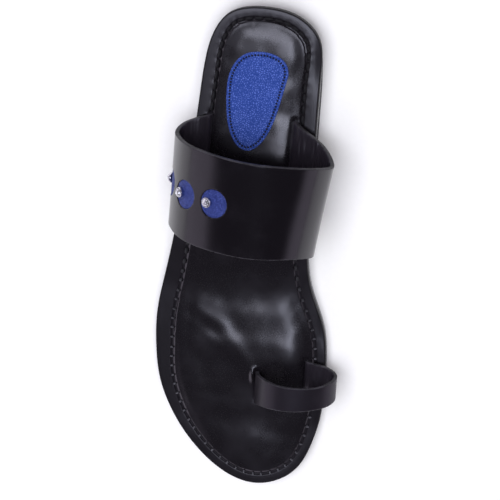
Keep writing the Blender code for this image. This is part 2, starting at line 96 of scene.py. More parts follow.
class Swell(NamedTuple):
    """A soft ridge or trough of the footbed, in millimetres from the centre line and from the back.

    x, y: its middle; turn: degrees from the foot's length; long, wide: half sizes; rise: height.
    """

    x: float
    y: float
    turn: float
    long: float
    wide: float
    rise: float


HEEL, WAIST, BALL = 61.8 * MM, 67.5 * MM, 91.5 * MM

SOLE_SECTIONS = (
    SoleSection(0.000, 0.000, 0.000, HEEL),
    SoleSection(0.020, 0.333, 0.315, HEEL),
    SoleSection(0.055, 0.468, 0.415, HEEL),
    SoleSection(0.120, 0.502, 0.480, HEEL),
    SoleSection(0.230, 0.497, 0.521, HEEL),
    SoleSection(0.385, 0.446, 0.554, WAIST),
    SoleSection(0.490, 0.446, 0.614, WAIST),
    SoleSection(0.575, 0.363, 0.496, BALL),
    SoleSection(0.655, 0.449, 0.529, BALL),
    SoleSection(0.730, 0.479, 0.523, BALL),
    SoleSection(0.790, 0.479, 0.496, BALL),
    SoleSection(0.850, 0.468, 0.430, BALL),
    SoleSection(0.910, 0.427, 0.320, BALL),
    SoleSection(0.962, 0.352, 0.169, BALL),
    SoleSection(1.000, 0.131, -0.131, BALL),
)

# Distance of the stitch line from the edge as shares of its inset: along, inner side, outer side
PAD_ROWS = (
    (0.00, 1.00, 1.00),
    (0.15, 1.35, 1.35),
    (0.40, 1.30, 1.30),
    (0.58, 1.05, 1.65),
    (0.72, 1.00, 1.60),
    (0.88, 0.96, 1.10),
    (1.00, 0.96, 0.96),
)

BAND_ROWS = (
    StrapRow(-0.455, 0.00, -0.280, 0.873),
    StrapRow(-0.475, 0.03, -0.275, 0.877),
    StrapRow(-0.700, 0.15, -0.170, 0.930),
    StrapRow(-0.930, 0.29, -0.030, 1.000),
    StrapRow(-1.000, 0.42, 0.060, 1.046),
    StrapRow(-0.960, 0.57, 0.062, 1.042),
    StrapRow(-0.790, 0.78, 0.038, 1.014),
    StrapRow(-0.430, 0.95, 0.016, 1.006),
    StrapRow(-0.110, 1.00, 0.000, 1.000),
    StrapRow(0.220, 0.95, -0.020, 0.987),
    StrapRow(0.440, 0.88, -0.040, 0.972),
    StrapRow(0.660, 0.76, -0.058, 0.955),
    StrapRow(0.830, 0.61, -0.074, 0.932),
    StrapRow(0.950, 0.43, -0.094, 0.895),
    StrapRow(1.000, 0.28, -0.120, 0.858),
    StrapRow(0.920, 0.13, -0.190, 0.800),
    StrapRow(0.650, 0.03, -0.270, 0.740),
    StrapRow(0.600, 0.00, -0.280, 0.728),
)

LOOP_ROWS = (
    StrapRow(-0.110, 0.00, -0.65, 0.48),
    StrapRow(-0.155, 0.05, -0.63, 0.50),
    StrapRow(-0.720, 0.22, -0.54, 0.48),
    StrapRow(-1.000, 0.43, -0.35, 0.60),
    StrapRow(-0.920, 0.66, -0.22, 0.75),
    StrapRow(-0.585, 0.88, -0.05, 0.88),
    StrapRow(-0.100, 1.00, 0.00, 0.98),
    StrapRow(0.400, 0.96, -0.01, 1.03),
    StrapRow(0.730, 0.76, -0.08, 1.08),
    StrapRow(0.930, 0.42, -0.07, 1.21),
    StrapRow(1.000, 0.05, -0.03, 1.42),
    StrapRow(1.000, 0.00, -0.02, 1.45),
)

# The heel patch's outline as shares of its length and width
PATCH_OUTLINE = (
    (0.000, -0.01),
    (0.035, 0.23),
    (0.130, 0.39),
    (0.270, 0.48),
    (0.450, 0.50),
    (0.624, 0.48),
    (0.780, 0.43),
    (0.880, 0.36),
    (0.972, 0.24),
    (1.000, 0.09),
    (0.960, -0.05),
    (0.857, -0.19),
    (0.567, -0.37),
    (0.280, -0.48),
    (0.184, -0.50),
    (0.090, -0.44),
    (0.026, -0.29),
)

# The footbed's dishes, ridges and creases, placed from the photograph
SWELLS = (
    Swell(2, 44, 0, 17, 17, -0.45),
    Swell(-17, 84, 0, 9, 12, 2.10),
    Swell(4, 150, 0, 20, 26, -0.90),
    Swell(0, 206, 0, 16, 26, 0.50),
    Swell(22, 168.5, 64, 6, 2.6, 0.40),
    Swell(6, 183, 37, 13, 3.6, 0.80),
    Swell(18, 181, 55, 9, 2.8, 0.44),
    Swell(-8, 183, 0, 14, 14, 1.45),
    Swell(22, 186, 45, 6, 3.2, 0.40),
    Swell(5.3, 10, 0, 2.2, 0.5, -0.10),
    Swell(-9, 166, 0, 9, 9, 0.32),
    Swell(-24, 188, 0, 8, 9, 1.20),
    Swell(30, 160, -3, 22, 2.0, -0.25),
    Swell(-8, 233, 0, 6, 5, 0.80),
)

# Dips of the margin on the inner side, in millimetres: distance from the back, half length and
# depth at the edge
MARGIN_DIPS = ((26, 9, 1.10), (172, 6, 0.80), (222, 7, 0.80))


def smooth_curve(points: np.ndarray, count: int, closed: bool = False) -> np.ndarray:
    """Points on the cubic spline through some points, evenly spaced along its length.

    The slopes at the points solve the system in which neighbouring stretches agree in slope and bend.

    Args:
        points: the points that the curve passes through, one a row.
        count: how many points come back.
        closed: whether the curve returns to its first point.

    Returns:
        The points, one a row; a closed curve ends on its first point.
    """
    points = np.asarray(points, dtype=float)
    if closed:
        points = np.vstack([points, points[:1]])
    steps = np.linalg.norm(np.diff(points, axis=0), axis=1)
    rises = np.diff(points, axis=0) / steps[:, None]
    last = len(points) - 1
    system = np.zeros((last + 1, last + 1))
    target = np.zeros_like(points)
    for k in range(1, last):
        system[k, k - 1 : k + 2] = steps[k], 2 * (steps[k - 1] + steps[k]), steps[k - 1]
        target[k] = 3 * (steps[k] * rises[k - 1] + steps[k - 1] * rises[k])
    if closed:
        system[0, 0] = 2 * (steps[-1] + steps[0])
        system[0, 1] = steps[-1]
        system[0, last - 1] = steps[0]
        target[0] = 3 * (steps[0] * rises[-1] + steps[-1] * rises[0])
        system[last, 0] = 1
        system[last, last] = -1
    else:
        system[0, :2] = 2, 1
        target[0] = 3 * rises[0]
        system[last, last - 1 :] = 1, 2
        target[last] = 3 * rises[-1]
    slopes = np.linalg.solve(system, target)
    share = np.linspace(0, 1, CURVE_STEPS, endpoint=False)[:, None]
    pieces = []
    for k in range(last):
        rise = points[k + 1] - points[k]
        swing = (1 - share) * (steps[k] * slopes[k] - rise) + share * (rise - steps[k] * slopes[k + 1])
        pieces.append(points[k] + share * rise + share * (1 - share) * swing)
    fine = np.vstack([*pieces, points[-1:]])
    travel = np.concatenate([[0], np.cumsum(np.linalg.norm(np.diff(fine, axis=0), axis=1))])
    wanted = np.linspace(0, travel[-1], count)
    return np.stack([np.interp(wanted, travel, column) for column in fine.T], axis=1)


def ease(share: np.ndarray) -> np.ndarray:
    """Rises smoothly from 0 to 1: 3 t squared less 2 t cubed, for t held between 0 and 1."""
    share = np.clip(share, 0, 1)
    return share * share * (3 - 2 * share)


def unit(vectors: np.ndarray) -> np.ndarray:
    """Vectors of length 1."""
    return vectors / np.maximum(np.linalg.norm(vectors, axis=-1, keepdims=True), 1e-12)


def left_of(loop: np.ndarray) -> np.ndarray:
    """Unit vectors to the left of a closed line, square to the chord between each point's neighbours."""
    along = np.roll(loop, -1, axis=0) - np.roll(loop, 1, axis=0)
    return unit(np.stack([-along[:, 1], along[:, 0]], axis=1))


def travel_round(loop: np.ndarray) -> tuple[np.ndarray, float]:
    """Distance of each point along a closed line, and the whole way round it."""
    steps = np.linalg.norm(np.diff(loop, axis=0, append=loop[:1]), axis=1)
    return np.concatenate([[0], np.cumsum(steps)[:-1]]), float(steps.sum())


def stitch_middles(around: float, pitch: float) -> np.ndarray:
    """Distances along a closed line of a whole number of stitches, evenly spaced at nearly the pitch."""
    count = int(round(around / pitch))
    return (np.arange(count) + 0.5) * around / count


def places_along(line: np.ndarray, travel: np.ndarray, around: float, wanted: np.ndarray) -> list[np.ndarray]:
    """The coordinates of a closed line at some distances along it."""
    return [np.interp(wanted, travel, column, period=around) for column in line.T]


def ripple(x: np.ndarray, y: np.ndarray, seed: int, pitch: float, waves: int = 9) -> np.ndarray:
    """Gentle irregular waves: sines in turned directions, of 0.7 to 1.5 times one pitch.

    The sum is divided by the square root of how many there are.

    Args:
        x: first coordinate in metres.
        y: second coordinate in metres.
        seed: picks the directions and phases.
        pitch: distance between crests in metres.
        waves: how many sines are summed.

    Returns:
        A height at each point, mostly between -1.5 and 1.5.
    """
    dice = np.random.default_rng(seed)
    total = np.zeros(np.broadcast(x, y).shape)
    for _ in range(waves):
        turn = dice.uniform(0, math.pi)
        own = pitch * dice.uniform(0.7, 1.5)
        phase = dice.uniform(0, 2 * math.pi)
        across = x * math.cos(turn) + y * math.sin(turn)
        total += np.sin(2 * math.pi * across / own + phase)
    return total / math.sqrt(waves)


def grid_faces(rows: int, columns: int, wrap: bool) -> np.ndarray:
    """Corner numbers of the quads between a grid's points.

    Args:
        rows: how many rows of points there are.
        columns: how many points each row has.
        wrap: whether the last point of a row joins its first.

    Returns:
        One quad a row.
    """
    across = np.arange(columns if wrap else columns - 1)
    after = (across + 1) % columns
    start = np.arange(rows - 1)[:, None] * columns
    corners = [start + across, start + after, start + columns + after, start + columns + across]
    return np.stack(corners, axis=-1).reshape(-1, 4)


def new_piece(
    name: str, points: np.ndarray, faces: list, materials: Sequence[bpy.types.Material]
) -> bpy.types.Object:
    """Links a smooth piece to the scene.

    Args:
        name: the piece's name.
        points: its points, in metres.
        faces: the corner numbers of each face.
        materials: its materials, in the order of their slots.

    Returns:
        The piece.
    """
    mesh = bpy.data.meshes.new(name)
    mesh.from_pydata(points.reshape(-1, 3), [], faces)
    for material in materials:
        mesh.materials.append(material)
    mesh.shade_smooth()
    piece = bpy.data.objects.new(name, mesh)
    bpy.context.scene.collection.objects.link(piece)
    return piece


def grid_piece(
    name: str,
    points: np.ndarray,
    materials: Sequence[bpy.types.Material],
    wrap: bool = False,
    slots: np.ndarray | None = None,
    places: np.ndarray | None = None,
    weld: float = 0.0,
    flip: bool = False,
) -> bpy.types.Object:
    """A smooth piece from a grid of points.

    Args:
        name: the piece's name.
        points: rows by columns by three, in metres.
        materials: its materials, in the order of their slots.
        wrap: whether the columns close on themselves.
        slots: the material of each quad, or None for the first throughout.
        places: rows by columns by two, stored as the texture coordinates "place".
        weld: points nearer than this are joined.
        flip: turns the faces round.

    Returns:
        The piece, linked to the scene.
    """
    rows, columns = points.shape[:2]
    faces = grid_faces(rows, columns, wrap)
    if flip:
        faces = faces[:, ::-1]
    piece = new_piece(name, points, faces.tolist(), materials)
    mesh = piece.data
    if slots is not None:
        mesh.polygons.foreach_set("material_index", slots.reshape(-1).astype(np.int32))
    if places is not None:
        layer = mesh.uv_layers.new(name="place")
        corners = np.empty(len(mesh.loops), dtype=np.int32)
        mesh.loops.foreach_get("vertex_index", corners)
        layer.data.foreach_set("uv", places.reshape(-1, 2)[corners].astype(np.float32).reshape(-1))
    if weld:
        shape = bmesh.new()
        shape.from_mesh(mesh)
        bmesh.ops.remove_doubles(shape, verts=shape.verts, dist=weld)
        shape.to_mesh(mesh)
        shape.free()
    return piece


def capsules(
    name: str, starts: np.ndarray, ends: np.ndarray, radius: float, material: bpy.types.Material
) -> bpy.types.Object:
    """Short rounded lengths of thread, all in one piece.

    Each is a tube round the line from its start to its end. It swells from a blunt tip to its full
    radius over a fifth of its length, and its middle bows up by six tenths of that radius.

    Args:
        name: the piece's name.
        starts: where each length starts, one a row.
        ends: where each length ends.
        radius: the thread's radius.
        material: the thread's material.

    Returns:
        The piece, linked to the scene.
    """
    along = ends - starts
    direction = unit(along)
    side = unit(np.cross((0.0, 0.0, 1.0), direction))
    up = np.cross(direction, side)
    share = np.array([0.0, 0.06, 0.2, 0.5, 0.8, 0.94, 1.0])
    swell = np.array([0.25, 0.7, 1.0, 1.05, 1.0, 0.7, 0.25])
    bow = 4 * share * (1 - share) * radius * 0.6
    turn = np.linspace(0, 2 * math.pi, 8, endpoint=False)
    centre = starts[:, None] + along[:, None] * share[:, None] + up[:, None] * bow[:, None]
    ring = side[:, None, None] * np.cos(turn)[:, None] + up[:, None, None] * np.sin(turn)[:, None]
    points = centre[:, :, None] + ring * (radius * swell)[:, None, None]
    count, rings, sides = points.shape[:3]
    one = grid_faces(rings, sides, wrap=True)
    faces = [list(face) for k in range(count) for face in one + k * rings * sides]
    for k in range(count):
        first = k * rings * sides
        faces.append(list(range(first, first + sides))[::-1])
        faces.append(list(range(first + (rings - 1) * sides, first + rings * sides)))
    return new_piece(name, points, [[int(v) for v in face] for face in faces], [material])


Value = Union[float, Sequence[float], "Wire"]


class Wire:
    """A value that runs between shader nodes, with arithmetic."""

    def __init__(self, board: "Board", socket: bpy.types.NodeSocket) -> None:
        """Holds the board and the socket that the value comes out of."""
        self.board = board
        self.socket = socket

    def _with(self, operation: str, other: Value, turned: bool = False) -> "Wire":
        """A Math node on this value and another, with the other first if turned."""
        pair = (other, self) if turned else (self, other)
        return self.board.add("ShaderNodeMath", {"operation": operation}, {0: pair[0], 1: pair[1]})

    def __add__(self, other: Value) -> "Wire":
        """The sum."""
        return self._with("ADD", other)

    def __radd__(self, other: Value) -> "Wire":
        """The sum, with the other value first."""
        return self._with("ADD", other, turned=True)

    def __sub__(self, other: Value) -> "Wire":
        """This value less the other."""
        return self._with("SUBTRACT", other)

    def __rsub__(self, other: Value) -> "Wire":
        """The other value less this one."""
        return self._with("SUBTRACT", other, turned=True)

    def __mul__(self, other: Value) -> "Wire":
        """The product."""
        return self._with("MULTIPLY", other)

    def __rmul__(self, other: Value) -> "Wire":
        """The product, with the other value first."""
        return self._with("MULTIPLY", other, turned=True)

    def __truediv__(self, other: Value) -> "Wire":
        """This value over the other."""
        return self._with("DIVIDE", other)

    def greatest(self, other: Value) -> "Wire":
        """The greater of two values."""
        return self._with("MAXIMUM", other)

    def call(self, operation: str) -> "Wire":
        """One of the Math node's functions of a single value."""
        return self.board.add("ShaderNodeMath", {"operation": operation}, {0: self})

    def between(self, low: float, high: float, start: float = 0.0, end: float = 1.0) -> "Wire":
        """Goes smoothly from start to end while the value goes from low to high.

        Args:
            low, high: the value's range.
            start, end: what comes back at each end of it.

        Returns:
            The value between start and end.
        """
        settings = {"interpolation_type": "SMOOTHSTEP"}
        inputs = {0: self, 1: low, 2: high, 3: start, 4: end}
        return self.board.add("ShaderNodeMapRange", settings, inputs)


class Board:
    """The node tree of a material, or of the studio's background."""

    def __init__(
        self, holder: Union[bpy.types.Material, bpy.types.World], shader: str = "Principled BSDF"
    ) -> None:
        """Opens the holder's node tree.

        Args:
            holder: the material or the background.
            shader: the name of the node that makes its surface.
        """
        self.holder = holder
        self.holder.use_nodes = True
        self.tree = self.holder.node_tree
        self.shader = self.tree.nodes[shader]

    def place(self, socket: bpy.types.NodeSocket, value: Value) -> None:
        """Links a wire to a socket, or sets its constant.

        Args:
            socket: the socket.
            value: the wire or the constant.
        """
        if isinstance(value, Wire):
            self.tree.links.new(value.socket, socket)
        else:
            socket.default_value = value

    def add(self, kind: str, settings: dict, inputs: dict, output: Union[int, str] = 0) -> Wire:
        """Adds a node.

        Args:
            kind: the node's type.
            settings: its properties.
            inputs: its sockets by number or name.
            output: which of its outputs comes back.

        Returns:
            That output.
        """
        node = self.tree.nodes.new(kind)
        for key, value in settings.items():
            setattr(node, key, value)
        for key, value in inputs.items():
            self.place(node.inputs[key], value)
        return Wire(self, node.outputs[output])

    def here(self) -> Wire:
        """The point's place in the object, in metres."""
        return self.add("ShaderNodeTexCoord", {}, {}, "Object")

    def place_on_piece(self) -> Wire:
        """The texture coordinates called place, in metres."""
        return self.add("ShaderNodeUVMap", {"uv_map": "place"}, {})

    def stretched(self, vector: Wire, scale: Sequence[float], turn: Sequence[float] = (0, 0, 0)) -> Wire:
        """A vector turned and then scaled along each axis."""
        return self.add("ShaderNodeMapping", {}, {"Vector": vector, "Scale": scale, "Rotation": turn})

    def split(self, vector: Wire) -> tuple[Wire, ...]:
        """The three parts of a vector."""
        first = self.add("ShaderNodeSeparateXYZ", {}, {0: vector})
        return tuple(Wire(self, part) for part in first.socket.node.outputs)

    def noise(self, vector: Wire, scale: float, detail: float = 3.0, rough: float = 0.55) -> Wire:
        """Cloudy noise between 0 and 1, at a scale per metre."""
        inputs = {"Vector": vector, "Scale": scale, "Detail": detail, "Roughness": rough}
        return self.add("ShaderNodeTexNoise", {}, inputs)

    def cells(self, vector: Wire, scale: float, feature: str = "F1") -> Wire:
        """Distance to the nearest cell's middle, or to its wall, at a scale per metre."""
        inputs = {"Vector": vector, "Scale": scale}
        return self.add("ShaderNodeTexVoronoi", {"feature": feature}, inputs, "Distance")

    def blend(self, share: Value, first: Value, second: Value) -> Wire:
        """Mixes two colours."""
        return self.add("ShaderNodeMix", {"data_type": "RGBA"}, {"Factor": share, 6: first, 7: second}, 2)

    def bump(self, height: Wire, distance: float, strength: float = 1.0, under: Wire | None = None) -> Wire:
        """Turns a height between 0 and 1 into a bent normal.

        Args:
            height: the relief.
            distance: its depth in metres.
            strength: how much of it counts.
            under: the coarser bump that it lies on.

        Returns:
            The normal.
        """
        inputs: dict = {"Height": height, "Distance": distance, "Strength": strength}
        if under:
            inputs["Normal"] = under
        return self.add("ShaderNodeBump", {}, inputs)

    def finish(self, **sockets: Value) -> bpy.types.Material:
        """Sets the surface shader's sockets.

        Args:
            sockets: their values by name, with underscores for spaces.

        Returns:
            The finished material, or the background.
        """
        for key, value in sockets.items():
            self.place(self.shader.inputs[key.replace("_", " ")], value)
        return self.holder


Colour = tuple[float, float, float]


def opaque(colour: Colour) -> tuple[float, float, float, float]:
    """A colour with full cover."""
    return (*colour, 1.0)


@dataclass(frozen=True)
class BlackLeather:
    """Polished black leather with a fine grain, soft wrinkles and rubbed places."""

    name: str
    colour: Colour = (0.0042, 0.0034, 0.0048)
    rubbed: Colour = (0.0085, 0.0075, 0.0100)
    roughness: float = 0.20
    coat: float = 0.15
    grain: float = 0.000007
    wrinkle: float = 0.000018
    wrinkle_pitch: tuple[float, float, float] = (1, 1, 1)
    tint: Colour = (0.97, 0.94, 1.0)
    coat_roughness: float = 0.22
    gloss: float = 0.5
    seam: float = 0.0
    streak: float = 0.00006

    def material(self) -> bpy.types.Material:
        """The node material. Where seam is set, the leather is duller within that distance of the stitch
        line, and streaked along the edge outside it.

        Returns:
            The material.
        """
        board = Board(bpy.data.materials.new(self.name))
        here = board.here()
        cloud = board.noise(here, 60, 4)
        specks = board.noise(here, 900, 2)
        pores = board.cells(here, 1500)
        folds = board.noise(board.stretched(here, self.wrinkle_pitch), 260, 4, 0.6)
        relief = board.bump(folds, self.wrinkle)
        relief = board.bump(pores, self.grain, 1.0, relief)
        pale_patches = cloud.between(0.45, 0.75)
        roughness = self.roughness + (cloud - 0.5) * 0.14 + (specks - 0.5) * 0.08
        coat: Value = self.coat
        if self.seam:
            place = board.place_on_piece()
            past = board.split(place)[1] / self.seam
            near = past.call("ABSOLUTE").between(0.5, 1.2, 1.0, 0.0)
            margin = past.between(-0.8, 0.0, 1.0, 0.0)
            streaks = board.noise(board.stretched(place, (0.10, 1.0, 1.0)), 900, 3, 0.6)
            relief = board.bump(streaks * margin, self.streak, 1.0, relief)
            roughness = roughness + near * 0.30 + margin * 0.08
            coat = self.coat * (1 - near * 0.9) * (1 - margin * 0.35)
        return board.finish(
            Base_Color=board.blend(pale_patches * 0.7, opaque(self.colour), opaque(self.rubbed)),
            Roughness=roughness,
            Specular_IOR_Level=self.gloss,
            Specular_Tint=opaque(self.tint),
            Coat_Weight=coat,
            Coat_Roughness=self.coat_roughness,
            Normal=relief,
        )


@dataclass(frozen=True)
class BlueLeather:
    """Blue leather with a pebbled grain, painted lighter on its tops and darker in the creases between the
    pebbles as painted light and shade, over a random tone.
    """

    name: str
    # The first colour is the painted shade of the creases and the darker random tone; the second, the painted
    # light of the tops and the lighter random tone
    crease_shade_and_dark_tone: Colour = (0.014, 0.044, 0.240)
    light: Colour = (0.090, 0.155, 0.545)
    pebble: float = 0.00015
    fineness: float = 960
    stirring: float = 0.0009

    def material(self) -> bpy.types.Material:
        """The node material.

        Returns:
            The material.
        """
        board = Board(bpy.data.materials.new(self.name))
        here = board.here()
        stir = board.add("ShaderNodeTexNoise", {}, {"Vector": here, "Scale": 700.0, "Detail": 2.0}, "Color")
        inputs = {0: stir, 1: (self.stirring,) * 3, 2: here}
        bent = board.add("ShaderNodeVectorMath", {"operation": "MULTIPLY_ADD"}, inputs)
        pebbles = board.cells(bent, self.fineness, "DISTANCE_TO_EDGE").between(0.0, 0.34)
        fine = board.noise(here, 3200, 2)
        cloud = board.noise(here, 90, 3)
        # Painted light and shade: the pebbles' tops lighter, the creases between them darker, mixed with
        # random tone
        top = (pebbles * 0.85 + (fine - 0.5) * 0.3 + (cloud - 0.5) * 0.5).between(0.0, 1.1)
        relief = board.bump(pebbles, self.pebble, 0.9)
        relief = board.bump(fine, 0.00005, 0.6, relief)
        return board.finish(
            Base_Color=board.blend(top, opaque(self.crease_shade_and_dark_tone), opaque(self.light)),
            Roughness=0.52 + (cloud - 0.5) * 0.2 + (1 - pebbles) * 0.15,
            Specular_IOR_Level=0.33,
            Normal=relief,
        )


@dataclass(frozen=True)
class CutEdge:
    """The cut and inked edge of leather: fibres along it under a thin black ink."""

    name: str
    colour: Colour = (0.034, 0.032, 0.039)
    roughness: float = 0.5

    def material(self) -> bpy.types.Material:
        """The node material.

        Returns:
            The material.
        """
        board = Board(bpy.data.materials.new(self.name))
        here = board.here()
        fibres = board.noise(here, 2600, 3)
        cloud = board.noise(here, 220, 3)
        dark = tuple(0.35 * part for part in self.colour)
        return board.finish(
            Base_Color=board.blend(cloud.between(0.35, 0.65), opaque(dark), opaque(self.colour)),
            Roughness=self.roughness + (fibres - 0.5) * 0.3,
            Specular_IOR_Level=0.35,
            Normal=board.bump(fibres, 0.00008, 0.8),
        )


@dataclass(frozen=True)
class SheetRubber:
    """Smooth black rubber sheet with fine streaks across it and faint rub marks."""

    name: str
    colour: Colour = (0.020, 0.020, 0.025)
    lighter: Colour = (0.036, 0.036, 0.046)

    def material(self) -> bpy.types.Material:
        """The node material.

        Returns:
            The material.
        """
        board = Board(bpy.data.materials.new(self.name))
        here = board.here()
        streaks = board.noise(board.stretched(here, (0.12, 1.0, 1.0)), 700, 4, 0.6)
        cloud = board.noise(here, 40, 4)
        rubs = board.noise(board.stretched(here, (1.0, 0.08, 1.0), (0, 0, 0.5)), 300, 3)
        tone = (streaks - 0.5) * 1.2 + cloud
        relief = board.bump(streaks, 0.00003, 0.8)
        return board.finish(
            Base_Color=board.blend(tone.between(0.2, 0.9), opaque(self.colour), opaque(self.lighter)),
            Roughness=0.24 + (cloud - 0.5) * 0.16 + (rubs - 0.5) * 0.12,
            Normal=board.bump(rubs, 0.00002, 0.6, relief),
        )


@dataclass(frozen=True)
class TreadRubber:
    """Black rubber with rows of low lens-shaped bumps, each row half a bump on from the last."""

    name: str
    colour: Colour = (0.014, 0.013, 0.016)
    row: float = 0.0040
    lens: float = 0.0092
    height: float = 0.00045

    def material(self) -> bpy.types.Material:
        """The node material: the bump is one less the squared distances from the lens's middle.

        Returns:
            The material.
        """
        board = Board(bpy.data.materials.new(self.name))
        here = board.here()
        x, y, _ = board.split(board.stretched(here, (1, 1, 1), (0, 0, 0.06)))
        line = y / self.row
        number = line.call("FLOOR")
        odd = number - (number / 2).call("FLOOR") * 2
        column = x / self.lens + odd * 0.5
        dx = column - column.call("FLOOR") - 0.5
        dy = line - number - 0.5
        lens = (1 - dx * dx * 4.4 - dy * dy * 5.2).greatest(0.0)
        fine = board.noise(here, 1800, 2)
        cloud = board.noise(here, 50, 3)
        relief = board.bump(lens.call("SQRT"), self.height)
        lighter = tuple(2.2 * part for part in self.colour)
        return board.finish(
            Base_Color=board.blend(cloud * lens, opaque(self.colour), opaque(lighter)),
            Roughness=0.5 + (cloud - 0.5) * 0.2 - lens * 0.08,
            Normal=board.bump(fine, 0.00004, 0.5, relief),
        )


@dataclass(frozen=True)
class Thread:
    """Waxed thread, laid up from twisted strands."""

    name: str
    colour: Colour
    pale_patches: Colour
    roughness: float = 0.6

    def material(self) -> bpy.types.Material:
        """The node material. Towards the toe, patches of the thread are painted a paler grey as painted
        glints.

        Returns:
            The material.
        """
        board = Board(bpy.data.materials.new(self.name))
        here = board.here()
        toe = board.split(here)[1].between(0.07, 0.17)
        strands = board.noise(board.stretched(here, (1.0, 1.0, 1.0), (0.6, 0.4, 0.8)), 3000, 2)
        dark = tuple(0.5 * part for part in self.colour)
        waxed = board.blend(strands, opaque(dark), opaque(self.colour))
        return board.finish(
            # Painted glints: towards the toe, patches of the thread take the second, paler grey colour
            Base_Color=board.blend(toe * strands.between(0.3, 0.7), waxed, opaque(self.pale_patches)),
            Roughness=self.roughness + (strands - 0.5) * 0.3,
            Normal=board.bump(strands, 0.00006, 0.8),
        )


@dataclass(frozen=True)
class PolishedMetal:
    """Plated metal with hairline scratches and duller patches at random."""

    name: str
    colour: Colour = (0.72, 0.72, 0.76)
    dull: Colour = (0.30, 0.29, 0.32)

    def material(self) -> bpy.types.Material:
        """The node material.

        Returns:
            The material.
        """
        board = Board(bpy.data.materials.new(self.name))
        here = board.here()
        scratches = board.noise(board.stretched(here, (1.0, 0.1, 1.0), (0, 0, 0.7)), 4000, 2)
        cloud = board.noise(here, 700, 2)
        return board.finish(
            Base_Color=board.blend(cloud.between(0.5, 0.8), opaque(self.colour), opaque(self.dull)),
            Metallic=1.0,
            Roughness=0.16 + (scratches - 0.5) * 0.14,
            Normal=board.bump(scratches, 0.00001, 0.5),
        )


@dataclass(frozen=True)
class FoiledCrystal:
    """A cut crystal with foil behind it, with light and dark painted into its colour in cells as painted
    reflections of its facets.
    """

    name: str
    # The two colours of the painted reflections: the pale one and the dark one
    painted_glint_colour: Colour = (0.95, 0.95, 1.0)
    dark: Colour = (0.10, 0.10, 0.14)

    def material(self) -> bpy.types.Material:
        """The node material.

        Returns:
            The material.
        """
        board = Board(bpy.data.materials.new(self.name))
        here = board.here()
        painted_glints = board.cells(here, 1400).between(0.15, 0.75)
        return board.finish(
            # Painted reflections: the pale colour near each cell's middle, the dark one further out
            Base_Color=board.blend(painted_glints * 0.7, opaque(self.painted_glint_colour), opaque(self.dark)),
            Metallic=0.75,
            Roughness=0.06 + painted_glints * 0.08,
            Coat_Weight=1.0,
            Coat_Roughness=0.02,
        )


